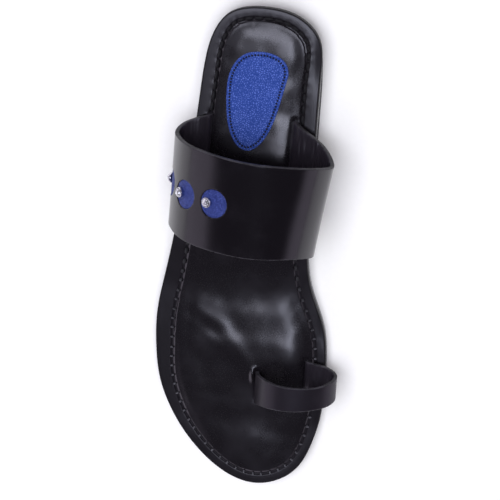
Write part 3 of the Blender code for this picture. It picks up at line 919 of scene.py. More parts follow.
@dataclass
class Sole:
    """The sole's plan and the heights along it, which every part on it shares.

    hip: how widely the soft minimum rounds the pad between two sides; hip_start: how far in it takes
    over; hip_skip: it reads every so many points of the edge. waver, quiver: heights of the pad's
    coarse and fine unevenness. pad_power: the power by which the padding rises.
    """

    length: float = 260.0 * MM
    heel_centre: float = 45.0 * MM
    outsole: float = 4.0 * MM
    toe_spring: float = 4.0 * MM
    lift: float = 7.0 * MM
    lift_length: float = 93.0 * MM
    breast_bow: float = 4.0 * MM
    shank_run_out: float = 3.0 * MM
    flat_start: float = 0.61
    spring_start: float = 0.855
    gap: float = 0.3 * MM
    insole: float = 3.6 * MM
    stitch_inset: float = 5.5 * MM
    pad_rise: float = 2.2 * MM
    pad_slope: float = 15.0 * MM
    pad_power: float = 2.2
    hip: float = 3.0 * MM
    hip_start: float = 4.0 * MM
    hip_skip: int = 3
    waver: float = 0.10 * MM
    waver_pitch: float = 21 * MM
    quiver: float = 0.03 * MM
    quiver_pitch: float = 8 * MM
    spine_from_end: float = 31.0 * MM
    outsole_taper: float = 1.0 * MM
    lift_taper: float = 1.8 * MM
    taper_length: float = 45.0 * MM
    points: int = 960
    edge: np.ndarray = field(init=False)
    inward: np.ndarray = field(init=False)
    travel: np.ndarray = field(init=False)
    girth: float = field(init=False)
    spine: np.ndarray = field(init=False)
    stitch: np.ndarray = field(init=False)

    def __post_init__(self) -> None:
        """Works out the outline, its inward normals, its spine and the stitch line's inset."""
        outer = [(s.outer * s.width, s.along * self.length) for s in SOLE_SECTIONS]
        inner = [(-s.inner * s.width, s.along * self.length) for s in SOLE_SECTIONS[-2:0:-1]]
        loop = smooth_curve(np.array(outer + inner), 8 * self.points + 1, closed=True)[:-1]
        tip = int(np.argmin(np.linalg.norm(loop - outer[-1], axis=1)))
        half = self.points // 2
        there = np.linspace(0, tip, half, endpoint=False)
        back = np.linspace(tip, len(loop), half, endpoint=False)
        self.edge = loop[np.concatenate([there, back]).astype(int)]
        self.inward = left_of(self.edge)
        self.travel, self.girth = travel_round(self.edge)
        pair = (self.edge + np.roll(self.edge[::-1], 1, axis=0)) / 2
        y = np.clip(pair[:, 1], self.spine_from_end, self.length - self.spine_from_end)
        x = np.interp(y, pair[: half + 1, 1], pair[: half + 1, 0])
        self.spine = np.stack([x, y], axis=1)
        share = self.edge[:, 1] / self.length
        stations, inner_rows, outer_rows = np.array(PAD_ROWS).T
        on_outer = np.arange(self.points) < half
        inner_side = np.interp(share, stations, inner_rows)
        rows = np.where(on_outer, np.interp(share, stations, outer_rows), inner_side)
        self.stitch = self.stitch_inset * rows

    def tread_line(self, y: np.ndarray) -> np.ndarray:
        """Height of the outsole's underside.

        It is the lift's height, eased down to nothing at the ball, then the toe's spring, as the square
        of the distance past its start.

        Args:
            y: distances from the back.

        Returns:
            The heights above the floor.
        """
        shank_start = self.lift_length + self.shank_run_out
        flat = self.flat_start * self.length
        spring = np.clip((y / self.length - self.spring_start) / (1 - self.spring_start), 0, None)
        return self.lift * ease((flat - y) / (flat - shank_start)) + self.toe_spring * spring**2

    def base_line(self, y: np.ndarray) -> np.ndarray:
        """Height of the footbed's underside."""
        return self.tread_line(y) + self.outsole + self.gap

    def width_at(self, y: float, side: Side) -> float:
        """Distance of the edge from the centre line, on one side.

        Args:
            y: distance from the back.
            side: which side of the foot.

        Returns:
            The distance.
        """
        half = self.points // 2
        if side is Side.OUTER:
            chain = self.edge[: half + 1]
        else:
            chain = np.vstack([self.edge[half:], self.edge[:1]])[::-1]
        return float(np.interp(y, chain[:, 1], side.value * chain[:, 0]))

    def world(self, x: np.ndarray, y: np.ndarray, z: np.ndarray) -> np.ndarray:
        """Points in the scene, from a plan measured from the back and a height above the floor."""
        return np.stack([x, y - self.heel_centre, z], axis=-1)

    def relief(self, x: np.ndarray, y: np.ndarray) -> np.ndarray:
        """Height of the listed dishes, ridges and creases over the flat pad.

        Each is a bell in its own turned axes: its rise times e to the minus half the squared shares of
        its half sizes. Fine uneven waves are added.

        Args:
            x, y: the places in plan.

        Returns:
            The heights.
        """
        total = self.waver * ripple(x, y, 3, self.waver_pitch)
        total = total + self.quiver * ripple(x, y, 4, self.quiver_pitch)
        for swell in SWELLS:
            turn = math.radians(swell.turn)
            dx, dy = x / MM - swell.x, y / MM - swell.y
            across = dx * math.cos(turn) + dy * math.sin(turn)
            along = -dx * math.sin(turn) + dy * math.cos(turn)
            bell = np.exp(-0.5 * ((along / swell.long) ** 2 + (across / swell.wide) ** 2))
            total = total + swell.rise * MM * bell
        return total

    def past_stitch(self, x: np.ndarray, y: np.ndarray, exact: np.ndarray | None = None) -> np.ndarray:
        """Distance in from the stitch line, negative outside it, with the hips between two sides rounded.

        The exact distance is the one to the nearest point of the edge. Further in it gives way to the
        soft minimum over the whole edge: less the log of the summed exponentials of the distances, put
        back to scale by the same sum along a straight edge.

        Args:
            x, y: the places in plan.
            exact: the exact distance, where it is known.

        Returns:
            The distance.
        """
        edge, stitch = self.edge[:: self.hip_skip], self.stitch[:: self.hip_skip]
        own = np.hypot(x[..., None] - edge[:, 0], y[..., None] - edge[:, 1])
        if exact is None:
            nearest = own.argmin(axis=-1)
            exact = np.take_along_axis(own, nearest[..., None], axis=-1)[..., 0] - stitch[nearest]
        own = own - stitch
        soft = -np.log(np.exp(-own / self.hip).sum(axis=-1))
        reach = np.linspace(-12, 60, 300) * MM
        along = np.arange(-80, 81) * self.hip_skip * self.girth / self.points
        straight = np.hypot(reach[:, None] + self.stitch_inset, along) - self.stitch_inset
        scale = -np.log(np.exp(-straight / self.hip).sum(axis=1))
        share = ease(exact / self.hip_start)
        return exact * (1 - share) + np.interp(soft, scale, reach) * share

    def puff(self, past: np.ndarray) -> np.ndarray:
        """Height of the padding: its whole rise times one less a power of the share still to rise."""
        share = np.clip(past / self.pad_slope, 0, 1)
        return self.pad_rise * (1 - (1 - share) ** self.pad_power)

    def pad_top(self, x: np.ndarray, y: np.ndarray) -> np.ndarray:
        """Height of the pad above the floor.

        Args:
            x, y: the places in plan.

        Returns:
            The heights.
        """
        past = self.past_stitch(x, y)
        swell = self.relief(x, y) * ease(past / self.stitch_inset)
        return self.base_line(y) + self.insole + self.puff(past) + swell

    def drawn_in(self, loop: np.ndarray, taper: float) -> np.ndarray:
        """An outline drawn in round the back of the heel, by the whole taper at the very back."""
        return loop + left_of(loop) * (taper * ease(1 - loop[:, 1] / self.taper_length))[:, None]


@dataclass
class Footbed:
    """The leather-covered footbed: a welt margin, a stitched groove and a puckered pad.

    pad_side: the groove's half width on the pad's side, as a share of the other. toe_start, toe_run:
    shares of the length where the stitches start to shorten, and over which they do. draw_reach,
    draw_fade: how far from a strap the leather is drawn down, and over what length that fades. lip:
    the rise of the lip beside the toe loop's outer foot; lip_ahead, lip_length: its middle ahead of
    that foot's back corner, and its reach; lip_off, lip_half: how far off the strap it stands, and its
    half width.
    """

    sole: Sole
    groove: float = 0.60 * MM
    groove_half: float = 0.72 * MM
    pad_side: float = 0.9
    rounding: float = 0.7 * MM
    stitch_pitch: float = 5.7 * MM
    stitch_length: float = 5.0 * MM
    thread: float = 0.85 * MM
    pucker: float = 0.05 * MM
    margin_crown: float = 0.12 * MM
    toe_fall: float = 0.9 * MM
    toe_fall_start: float = 0.88
    toe_fall_run: float = 0.08
    pad_band: float = 8.0 * MM
    pucker_start: float = 0.8 * MM
    pucker_reach: float = 1.8 * MM
    margin_reach: float = 2.0 * MM
    toe_start: float = 0.42
    toe_run: float = 0.24
    toe_shortening: float = 0.76
    toe_sink: float = 0.08 * MM
    stitch_lift: float = 0.30 * MM
    stitch_stray: float = 0.3
    foot_samples: int = 60
    draw_down: float = 0.6 * MM
    draw_reach: float = 1.5 * MM
    draw_fade: float = 6.0 * MM
    lip: float = 1.30 * MM
    lip_ahead: float = 2.5 * MM
    lip_length: float = 4.0 * MM
    lip_off: float = 2.4 * MM
    lip_half: float = 1.1 * MM
    pad_rings: int = 26
    edge_rows: int = 9
    middle_rings: int = 46

    def profile(
        self, inset: np.ndarray, stitch: np.ndarray, travel: np.ndarray, heel: np.ndarray
    ) -> np.ndarray:
        """Height over the footbed's underside at a distance in from the edge.

        The margin has a slight crown, half a sine across it, and the pad swells in from the stitch line.
        The groove is a bell round that line. Puckers are cosines along the edge that die away on both
        sides of the groove.

        Args:
            inset: distance in from the edge.
            stitch: the stitch line's own distance in.
            travel: distance along the edge.
            heel: 1 at the heel, where the puckers are deepest, down to 0 at the toe.

        Returns:
            The height.
        """
        half = np.where(inset < stitch, self.groove_half, self.groove_half * self.pad_side)
        groove = self.groove * np.exp(-(((inset - stitch) / half) ** 2) * 1.8)
        crown = self.margin_crown * (0.1 + 0.9 * heel) * np.sin(math.pi * np.clip(inset / stitch, 0, 1))
        turns = 2 * math.pi * travel / self.stitch_pitch
        uneven = 1 + 0.5 * ripple(travel, 0 * travel, 11, 0.017)
        reach = np.clip(inset - stitch, 0, None)
        wander = 0.7 * ripple(travel, inset, 12, 0.012)
        fade = np.exp(-reach / self.pucker_reach) * ease(reach / self.pucker_start)
        fold = 0.4 * np.cos(turns + wander) * fade
        margin = np.exp(-(((inset - stitch) / self.margin_reach) ** 2)) * (inset < stitch)
        folds = self.pucker * (0.35 + 0.65 * heel) * uneven * (fold - margin * np.cos(turns))
        return self.sole.insole + crown + self.sole.puff(inset - stitch) - groove + folds

    def grid(self) -> tuple[np.ndarray, np.ndarray]:
        """The whole surface, from the middle of the underside, out round the edge and in over the pad.

        Returns:
            The points, rows by columns by three, and their texture coordinates: distance along the edge
            and distance in from the stitch line.
        """
        sole = self.sole
        stitch, travel = sole.stitch, sole.travel
        heel = 1 - ease(sole.edge[:, 1] / sole.length * 1.6 - 0.3)
        rows, places = [], []

        def lay(plan: np.ndarray, z: np.ndarray, inset: np.ndarray) -> None:
            """Adds a row of points and their texture coordinates."""
            rows.append(sole.world(plan[:, 0], plan[:, 1], z))
            places.append(np.stack([travel, inset - stitch], axis=1))

        for plan in (sole.spine, (sole.edge + sole.spine) / 2, sole.edge):
            lay(plan, sole.base_line(plan[:, 1]), 0 * travel)
        fall = self.toe_fall * ease((sole.edge[:, 1] / sole.length - self.toe_fall_start) / self.toe_fall_run)
        for place, reach, dip in MARGIN_DIPS:
            bell = np.exp(-0.5 * ((sole.edge[:, 1] / MM - place) / reach) ** 2)
            fall = fall + dip * MM * bell * ease(-sole.edge[:, 0] / (10 * MM))
        lay(sole.edge, sole.base_line(sole.edge[:, 1]) + sole.insole - self.rounding - fall, 0 * travel)
        for turn in np.linspace(0, math.pi / 2, 7)[1:]:
            inset = 0 * travel + self.rounding * (1 - math.cos(turn))
            plan = sole.edge + sole.inward * inset[:, None]
            z = sole.base_line(plan[:, 1]) + sole.insole - self.rounding * (1 - math.sin(turn))
            lay(plan, z - fall, inset)
        shares = np.concatenate([np.linspace(0.25, 0.7, 3), np.linspace(0.76, 1.0, 6)])
        insets = [self.rounding + (stitch - self.rounding) * share for share in shares]
        insets += [stitch + share * self.pad_band for share in np.linspace(0, 1, self.pad_rings)[1:]]
        for inset in insets:
            plan = sole.edge + sole.inward * inset[:, None]
            past = np.where(inset > stitch, sole.past_stitch(*plan.T, inset - stitch), inset - stitch)
            z = sole.base_line(plan[:, 1]) + self.profile(stitch + past, stitch, travel, heel)
            z += sole.relief(*plan.T) * ease(past / sole.stitch_inset)
            lay(plan, z - fall * np.clip(1 - inset / stitch, 0, 1), inset)
        rim = plan
        for share in np.linspace(0, 1, self.middle_rings)[1:]:
            plan = rim * (1 - share) + sole.spine * share
            past = sole.past_stitch(*plan.T)
            z = sole.base_line(plan[:, 1]) + self.profile(stitch + past, stitch, travel, heel)
            lay(plan, z + sole.relief(*plan.T) * ease(past / sole.stitch_inset), stitch + past)
        return np.array(rows), np.array(places)

    def slots(self, points: np.ndarray, straps: Sequence["Strap"]) -> np.ndarray:
        """Draws the leather down where the straps go through it.

        The drop is a bell by the distance in plan from the strap's foot. Beside the back end of the last
        foot, the toe loop's outer one, the leather is pushed up into a low lip.

        Args:
            points: the footbed's surface, rows by columns by three. It is changed in place.
            straps: the straps that go through it, the toe loop last.

        Returns:
            The surface.
        """
        feet = [(strap, foot) for strap in straps for foot in (0.015, 0.985)]
        for number, (strap, foot) in enumerate(feet):
            widths = np.linspace(0, 1, self.foot_samples)
            line = strap.points(np.full(self.foot_samples, foot), widths)[:, :2]
            near = np.full(points.shape[:2], np.inf)
            for spot in line:
                near = np.minimum(near, np.hypot(points[..., 0] - spot[0], points[..., 1] - spot[1]))
            top = points[..., 2] > self.sole.base_line(points[..., 1] + self.sole.heel_centre) + 3 * MM
            lip = np.exp(-(((points[..., 1] - line[0, 1] - self.lip_ahead) / self.lip_length) ** 2))
            lip = lip * ease((points[..., 0] - line[0, 0] + 1.0 * MM) / (2.0 * MM))
            lip = lip * self.lip * (number == len(feet) - 1)
            drop = self.draw_down * np.exp(-((near / self.draw_reach) ** 2))
            drop = drop * ease((line[:, 1].max() + 0.5 * MM - points[..., 1]) / self.draw_fade)
            drop = drop - lip * np.exp(-(((near - self.lip_off) / self.lip_half) ** 2))
            points[..., 2] -= np.where(top, drop, 0)
        return points

    def stitches(self, material: bpy.types.Material) -> bpy.types.Object:
        """The hand stitching that lies in the groove: long at the heel, short and sunk at the toe.

        Args:
            material: the thread's material.

        Returns:
            The piece.
        """
        sole = self.sole
        middles = stitch_middles(sole.girth, self.stitch_pitch)
        dice = np.random.default_rng(5)
        middles = middles + dice.uniform(-self.stitch_stray, self.stitch_stray, len(middles)) * MM
        line = sole.edge + sole.inward * sole.stitch[:, None]
        where = np.interp(middles, sole.travel, line[:, 1])
        toe = ease((where / sole.length - self.toe_start) / self.toe_run)
        half = (self.stitch_length / 2) * (1 - self.toe_shortening * toe)
        depth = sole.insole - self.groove + self.stitch_lift - self.toe_sink * toe

        def spot(travel: np.ndarray) -> np.ndarray:
            """Points in the groove at distances along the edge."""
            x, y = places_along(line, sole.travel, sole.girth, travel)
            return sole.world(x, y, sole.base_line(y) + depth)

        ends = spot(middles - half), spot(middles + half)
        return capsules("footbed_stitches", *ends, self.thread, material)

    def build(
        self,
        leather: bpy.types.Material,
        edge: bpy.types.Material,
        thread: bpy.types.Material,
        straps: Sequence["Strap"],
    ) -> list:
        """Makes the footbed and its stitching.

        Args:
            leather: the cover's material.
            edge: the cut edge's material.
            thread: the stitches' material.
            straps: the straps that go through it.

        Returns:
            Its two pieces.
        """
        points, places = self.grid()
        points = self.slots(points, straps)
        on_edge = np.arange(len(points) - 1) < self.edge_rows
        slots = np.tile(on_edge[:, None], (1, points.shape[1])).astype(int)
        body = grid_piece(
            "footbed", points, [leather, edge], wrap=True, slots=slots, places=places, weld=WELD
        )
        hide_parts("insole")
        stitches = self.stitches(thread)
        return [body, stitches]


@dataclass
class Outsole:
    """The rubber sheet and the heel lift under it."""

    sole: Sole
    rounding: float = 0.5 * MM

    def sheet(self, material: bpy.types.Material) -> bpy.types.Object:
        """The outsole: rings from the middle of the underside round the edge to the middle of the top.

        Args:
            material: its material.

        Returns:
            The piece.
        """
        sole = self.sole
        foot = sole.drawn_in(sole.edge, sole.outsole_taper)
        rows = []
        for share in np.linspace(0, 1, 12):
            plan = sole.spine * (1 - share) + (foot + sole.inward * self.rounding) * share
            rows.append(sole.world(*plan.T, sole.tread_line(plan[:, 1])))
        corners = (
            (foot, self.rounding, np.linspace(0, 90, 5)[1:]),
            (sole.edge, sole.outsole - self.rounding, np.linspace(90, 180, 5)),
        )
        for outline, lift, turns in corners:
            for turn in np.radians(turns):
                plan = outline + sole.inward * (self.rounding * (1 - math.sin(turn)))
                z = sole.tread_line(plan[:, 1]) + lift - self.rounding * math.cos(turn)
                rows.append(sole.world(*plan.T, z))
        for share in np.linspace(0, 1, 4)[1:]:
            plan = (sole.edge + sole.inward * self.rounding) * (1 - share) + sole.spine * share
            rows.append(sole.world(*plan.T, sole.tread_line(plan[:, 1]) + sole.outsole))
        piece = grid_piece("outsole_sheet", np.array(rows), [material], wrap=True, weld=WELD)
        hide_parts("outsole")
        return piece

    def heel(self, material: bpy.types.Material) -> bpy.types.Object:
        """The heel lift: rings from the middle of the tread round the edge to the middle of its top.

        Args:
            material: its material.

        Returns:
            The piece.
        """
        sole = self.sole
        corner = sole.lift_length - sole.breast_bow
        half = sole.points // 2
        foot = sole.drawn_in(sole.edge, sole.outsole_taper)
        outer = foot[:half][foot[:half, 1] < corner]
        inner = foot[half:][foot[half:, 1] < corner]
        share = np.linspace(0, 1, 60)[1:-1]
        x = outer[-1, 0] + (inner[0, 0] - outer[-1, 0]) * share
        breast = np.stack([x, corner + 4 * sole.breast_bow * share * (1 - share)], axis=1)
        loop = np.vstack([outer, breast, inner])
        middle = np.array([np.interp(loop[:, 1], sole.spine[:half, 1], sole.spine[:half, 0]), loop[:, 1]]).T
        middle[:, 1] = np.clip(middle[:, 1], 25 * MM, 75 * MM)
        inward = unit(middle - loop)
        tread = sole.drawn_in(loop, sole.lift_taper)
        top = sole.lift - sole.gap
        rows = []
        for part, z in ((0.0, 0.0), (0.5, 0.0), (0.85, 0.0)):
            plan = middle * (1 - part) + tread * part
            rows.append(sole.world(*plan.T, np.full(len(plan), z)))
        for turn in np.radians(np.linspace(0, 90, 5)):
            plan = tread + inward * (self.rounding * (1 - math.sin(turn)))
            rows.append(sole.world(*plan.T, np.full(len(plan), self.rounding * (1 - math.cos(turn)))))
        for part in (1.0, 0.5, 0.0):
            plan = middle * (1 - part) + loop * part
            rows.append(sole.world(*plan.T, np.full(len(plan), top)))
        piece = grid_piece("heel_top_piece", np.array(rows), [material], wrap=True, weld=WELD)
        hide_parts("heel_lift")
        return piece

    def build(self, sheet: bpy.types.Material, tread: bpy.types.Material) -> list:
        """Makes the outsole and the heel lift."""
        return [self.sheet(sheet), self.heel(tread)]


@dataclass
class Strap:
    """A leather strap whose two edges are smooth curves, with a wall of one thickness.

    reaches holds, for the back and the front edge, the distances from the middle to the inner and the
    outer bulge. step is the share over which slopes are taken, and bare_foot the length at each foot
    where waves and wrinkles fade out. back, front: the two edges; girth: the length between the feet;
    crown: the share of the girth at the highest point.
    """

    name: str
    sole: Sole
    rows: Sequence[StrapRow]
    wall: float
    rise: float
    width: float
    back_line: float
    middle: float
    reaches: tuple[tuple[float, float], tuple[float, float]]
    corner: float = 0.5 * MM
    folds: int = 420
    face_columns: int = 64
    lining_columns: int = 34
    step: float = 0.004
    bare_foot: float = 0.012
    back: np.ndarray = field(init=False)
    front: np.ndarray = field(init=False)
    girth: float = field(init=False)
    crown: float = field(init=False)

    def __post_init__(self) -> None:
        """Works the two edges out from the rows."""
        edges = []
        for column, (inner, outer) in zip(("back", "front"), self.reaches):
            points = []
            for row in self.rows:
                reach = outer if row.across > 0 else inner
                y = self.back_line + getattr(row, column) * self.width
                points.append((self.middle + row.across * reach, y, row.rise * self.rise))
            foot = self.sole.gap - self.sole.insole
            points[0] = (*points[0][:2], foot)
            points[-1] = (*points[-1][:2], foot)
            edges.append(smooth_curve(np.array(points), 1200))
        self.back, self.front = edges
        line = (self.back + self.front) / 2
        self.girth = float(np.linalg.norm(np.diff(line, axis=0), axis=1).sum())
        self.crown = float(np.argmax(line[:, 2])) / (len(line) - 1)

    def points(self, girth: np.ndarray, width: np.ndarray) -> np.ndarray:
        """Points on the middle of the wall.

        Args:
            girth: shares of the girth, from the inner foot.
            width: shares of the width, from the back edge.

        Returns:
            The points. Near a foot they follow the footbed, and higher up the line between the edges.
        """
        place = np.asarray(girth, dtype=float) * (len(self.back) - 1)
        whole = np.clip(np.floor(place).astype(int), 0, len(self.back) - 2)
        part = (place - whole)[..., None]
        back = self.back[whole] * (1 - part) + self.back[whole + 1] * part
        front = self.front[whole] * (1 - part) + self.front[whole + 1] * part
        across = np.asarray(width, dtype=float)[..., None]
        x, y, height = np.moveaxis(back * (1 - across) + front * across, -1, 0)
        ends = self.sole.base_line(back[..., 1]), self.sole.base_line(front[..., 1])
        straight = ends[0] * (1 - across[..., 0]) + ends[1] * across[..., 0]
        free = ease(height / (2 * self.sole.insole))
        ground = self.sole.base_line(y) * (1 - free) + straight * free
        return self.sole.world(x, y, ground + self.sole.insole + height)

    def frame(self, girth: np.ndarray, width: np.ndarray) -> tuple[np.ndarray, ...]:
        """Points on the middle of the wall with the directions there.

        Args:
            girth: shares of the girth.
            width: shares of the width.

        Returns:
            The points, unit vectors along the girth and across towards the toe, and outward normals.
        """
        step = self.step
        along = unit(self.points(girth + step, width) - self.points(girth - step, width))
        across = self.points(girth, width + step) - self.points(girth, width - step)
        normal = unit(np.cross(along, across))
        return self.points(girth, width), along, unit(across), normal

    def shell(self, materials: Sequence[bpy.types.Material], wrinkle: float) -> bpy.types.Object:
        """The whole strap: face, cut edges and lining as one closed section swept along the girth.

        The section is a rounded box: its corners are quarter circles between the faces and the edges.
        Wrinkles are waves that run across the strap, deepest on the lining near its inner foot.

        Args:
            materials: those of the face, the cut edge and the lining.
            wrinkle: the wrinkles' depth on the lining.

        Returns:
            The piece.
        """
        half, corner = self.wall / 2, self.corner
        inset = corner / self.width
        face = np.linspace(inset, 1 - inset, self.face_columns)
        lining = np.linspace(1 - inset, inset, self.lining_columns)
        turn = np.radians(np.linspace(0, 90, 5)[1:])
        width, out, height = [*face], [0.0] * len(face), [half] * len(face)
        slot = [0] * (len(face) - 1)
        for end, sign in ((1 - inset, 1), (inset, -1)):
            bows = [(corner * math.sin(t), half - corner * (1 - math.cos(t))) for t in turn]
            path = [*bows, *[(o, -h) for o, h in bows[::-1]]]
            if sign < 0:
                path = [(o, -h) for o, h in path]
            width += [end] * len(path)
            out += [sign * o for o, _ in path]
            height += [h for _, h in path]
            slot += [1] * (len(path) + 1)
            if sign > 0:
                width += [*lining]
                out += [0.0] * len(lining)
                height += [-half] * len(lining)
                slot += [2] * (len(lining) - 1)
        girth = np.linspace(0, 1, self.folds)[:, None]
        point, _, across, normal = self.frame(girth + 0 * np.array(width), np.array(width) + 0 * girth)
        travel = girth * self.girth
        over = np.array(width) * self.width
        inside = np.array(height) < 0
        bare = ease(travel / self.bare_foot) * ease((self.girth - travel) / self.bare_foot)
        heel_side = np.exp(-((travel / (0.30 * self.girth)) ** 2))
        waves = ripple(travel + 0 * over, over * 0.15 + 0 * travel, 21, 0.0022)
        soft = ripple(travel + 0 * over, over * 0.6 + 0 * travel, 22, 0.024)
        swell = np.where(inside, wrinkle * waves * (0.25 + heel_side) + 0.06 * MM * soft, 0.05 * MM * soft)
        points = point + normal * (np.array(height) + swell * bare)[..., None]
        points = points + across * np.array(out)[:, None]
        places = np.stack([travel + 0 * over, over + 0 * travel], axis=-1)
        slots = np.tile(slot, (self.folds - 1, 1))
        return grid_piece(self.name, points, materials, wrap=True, slots=slots, places=places, flip=True)


def instep_band(sole: Sole) -> Strap:
    """The wide band's form, whose reaches follow the sole's edges under it.

    Args:
        sole: the sole that it stands on.

    Returns:
        The strap.
    """
    back, width = 71.6 * MM, 50.3 * MM
    front = back + width
    reaches = (
        (sole.width_at(back, Side.INNER) + 11.7 * MM, sole.width_at(back, Side.OUTER) + 6.2 * MM),
        (sole.width_at(front, Side.INNER) + 4.8 * MM, sole.width_at(front, Side.OUTER) + 0.2 * MM),
    )
    return Strap("band_leather", sole, BAND_ROWS, 2.4 * MM, 45.5 * MM, width, back, 0.0, reaches)


def toe_loop(sole: Sole) -> Strap:
    """The big-toe loop's form.

    Args:
        sole: the sole that it stands on.

    Returns:
        The strap.
    """
    back, middle = sole.length - 63.1 * MM, 31.0 * MM
    reach = (sole.width_at(back, Side.INNER) + 6.6 * MM - middle, middle - 8.0 * MM)
    return Strap(
        "loop_leather", sole, LOOP_ROWS, 2.0 * MM, 24.0 * MM, 13.3 * MM, back, -middle, (reach, reach),
        folds=260, face_columns=24, lining_columns=14,
    )


@dataclass
class Inlays:
    """The round blue inlays sunk in the band, and the crystals in their settings."""

    band: Strap
    diameter: float = 15.0 * MM
    thickness: float = 0.6 * MM
    from_crown: float = 19.5 * MM
    spacing: float = 19.4 * MM
    drift: float = 0.02
    pocket: float = 1.2 * MM
    stud_from_middle: float = 3.4 * MM
    gap: float = 0.3 * MM
    cup: float = 5.4 * MM
    stone: float = 4.0 * MM
    clearance: float = 0.18 * MM
    sides: int = 96
    facets: int = 12
    claws: int = 6
    claw_height: float = 0.35 * MM

    def centre(self, number: int) -> tuple[float, float]:
        """Shares of the girth and the width at an inlay's middle."""
        girth = self.band.crown + (self.from_crown + number * self.spacing) / self.band.girth
        return girth, 0.5 + number * self.drift

    def disc(self, number: int, radii: np.ndarray, heights: np.ndarray, sides: int) -> np.ndarray:
        """Rings round an inlay's middle that follow the band.

        A ring's points lie at its radius in the band's tangent plane. They are carried back to shares of
        girth and width by the inverse of the band's two tangents, and raised along the normal there.

        Args:
            number: which inlay.
            radii, heights: those of each ring.
            sides: how many points go round.

        Returns:
            The rings, one a row.
        """
        girth, width = self.centre(number)
        step = self.band.step
        along = (self.band.points(girth + step, width) - self.band.points(girth - step, width)) / (2 * step)
        across = (self.band.points(girth, width + step) - self.band.points(girth, width - step)) / (2 * step)
        normal = unit(np.cross(along, across))
        side = unit(along)
        up = np.cross(normal, side)
        shares = np.array([[side @ along, side @ across], [up @ along, up @ across]])
        turn = np.linspace(0, 2 * math.pi, sides, endpoint=False)
        plane = radii[:, None, None] * np.stack([np.cos(turn), np.sin(turn)], axis=-1)
        offset = plane @ np.linalg.inv(shares).T
        point, _, _, out = self.band.frame(girth + offset[..., 0], width + offset[..., 1])
        return point + out * heights[:, None, None]

    def pockets(self, band_piece: bpy.types.Object, number: int) -> None:
        """Cuts an inlay's pocket into the band.

        Args:
            band_piece: the band's piece, whose mesh is replaced.
            number: which inlay.
        """
        face = self.band.wall / 2
        radius = self.diameter / 2 + self.clearance
        low, high = face - self.pocket, face + 2 * MM
        radii = np.array([1e-7, radius, radius, 1e-7])
        rings = self.disc(number, radii, np.array([low, low, high, high]), self.sides)
        cutter = grid_piece(f"pocket_{number}", rings, [], wrap=True, weld=WELD)
        shape = bmesh.new()
        shape.from_mesh(cutter.data)
        bmesh.ops.recalc_face_normals(shape, faces=shape.faces)
        shape.to_mesh(cutter.data)
        shape.free()
        boolean = band_piece.modifiers.new("pocket", "BOOLEAN")
        boolean.object = cutter
        boolean.solver = "EXACT"
        cut = band_piece.evaluated_get(bpy.context.evaluated_depsgraph_get())
        solid = bpy.data.meshes.new_from_object(cut)
        band_piece.modifiers.clear()
        band_piece.data = solid
        bpy.data.objects.remove(cutter, do_unlink=True)

    def inlay(self, number: int, leather: bpy.types.Material) -> bpy.types.Object:
        """One inlay: a slightly crowned disc with a rounded rim.

        Args:
            number: which inlay.
            leather: its material.

        Returns:
            The piece.
        """
        floor = self.band.wall / 2 - self.pocket + self.gap
        radius, top = self.diameter / 2, floor + self.thickness
        shares = np.array([TIP, 0.7, 1.0, 1.0, 0.985, 0.95, 0.9, 0.8, 0.65, 0.5, 0.35, 0.2, TIP])
        drop = np.array([0.25, 0.08, 0.02, 0, 0, 0, 0, 0, 0, 0]) * MM
        crown = 0.10 * MM * (1 - shares[3:] ** 2)
        heights = np.concatenate([[floor] * 3, top - drop + crown])
        rings = self.disc(number, radius * shares, heights, self.sides)
        piece = grid_piece(f"blue_inlay_{number + 1}", rings, [leather], wrap=True, weld=WELD)
        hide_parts(f"inlay_{number + 1}")
        return piece

    def seat(self, number: int) -> Matrix:
        """The place of a crystal: on the inlay, with its axis along the band's normal.

        Args:
            number: which crystal.

        Returns:
            Its turn and its place.
        """
        girth, width = self.centre(number)
        girth += self.stud_from_middle / self.band.girth
        point, along, _, normal = self.band.frame(np.array(girth), np.array(width))
        height = self.band.wall / 2 - self.pocket + 2 * self.gap + self.thickness
        turn = Matrix(np.column_stack([along, np.cross(normal, along), normal]).tolist()).to_4x4()
        return Matrix.Translation(Vector(point + normal * height)) @ turn

    def turned(
        self,
        name: str,
        profile: np.ndarray,
        sides: int,
        material: bpy.types.Material,
        seat: Matrix,
        flat: bool,
        wave: tuple[int, float] = (0, 0.0),
    ) -> bpy.types.Object:
        """A turned piece, or a faceted one, on its seat.

        The claws are the fourth power of a cosine round the axis, eased in over the profile's upper half.

        Args:
            name: the piece's name.
            profile: radius and height of each ring, from the foot up.
            sides: how many points go round.
            material: its material.
            seat: its place.
            flat: whether its facets stay flat.
            wave: how many claws stand round the rim, and how high.

        Returns:
            The piece.
        """
        turn = np.linspace(0, 2 * math.pi, sides, endpoint=False)
        radius, height = profile[:, 0, None], profile[:, 1, None]
        upper = ease(height / profile[:, 1].max() * 2 - 1)
        claws = wave[1] * np.clip(np.cos(wave[0] * turn), 0, 1) ** 4 * upper
        points = np.stack([radius * np.cos(turn), radius * np.sin(turn), height + claws], axis=-1)
        world = np.array(seat)
        points = points @ world[:3, :3].T + world[:3, 3]
        piece = grid_piece(name, points, [material], wrap=True, weld=1e-7)
        if flat:
            piece.data.shade_flat()
        return piece

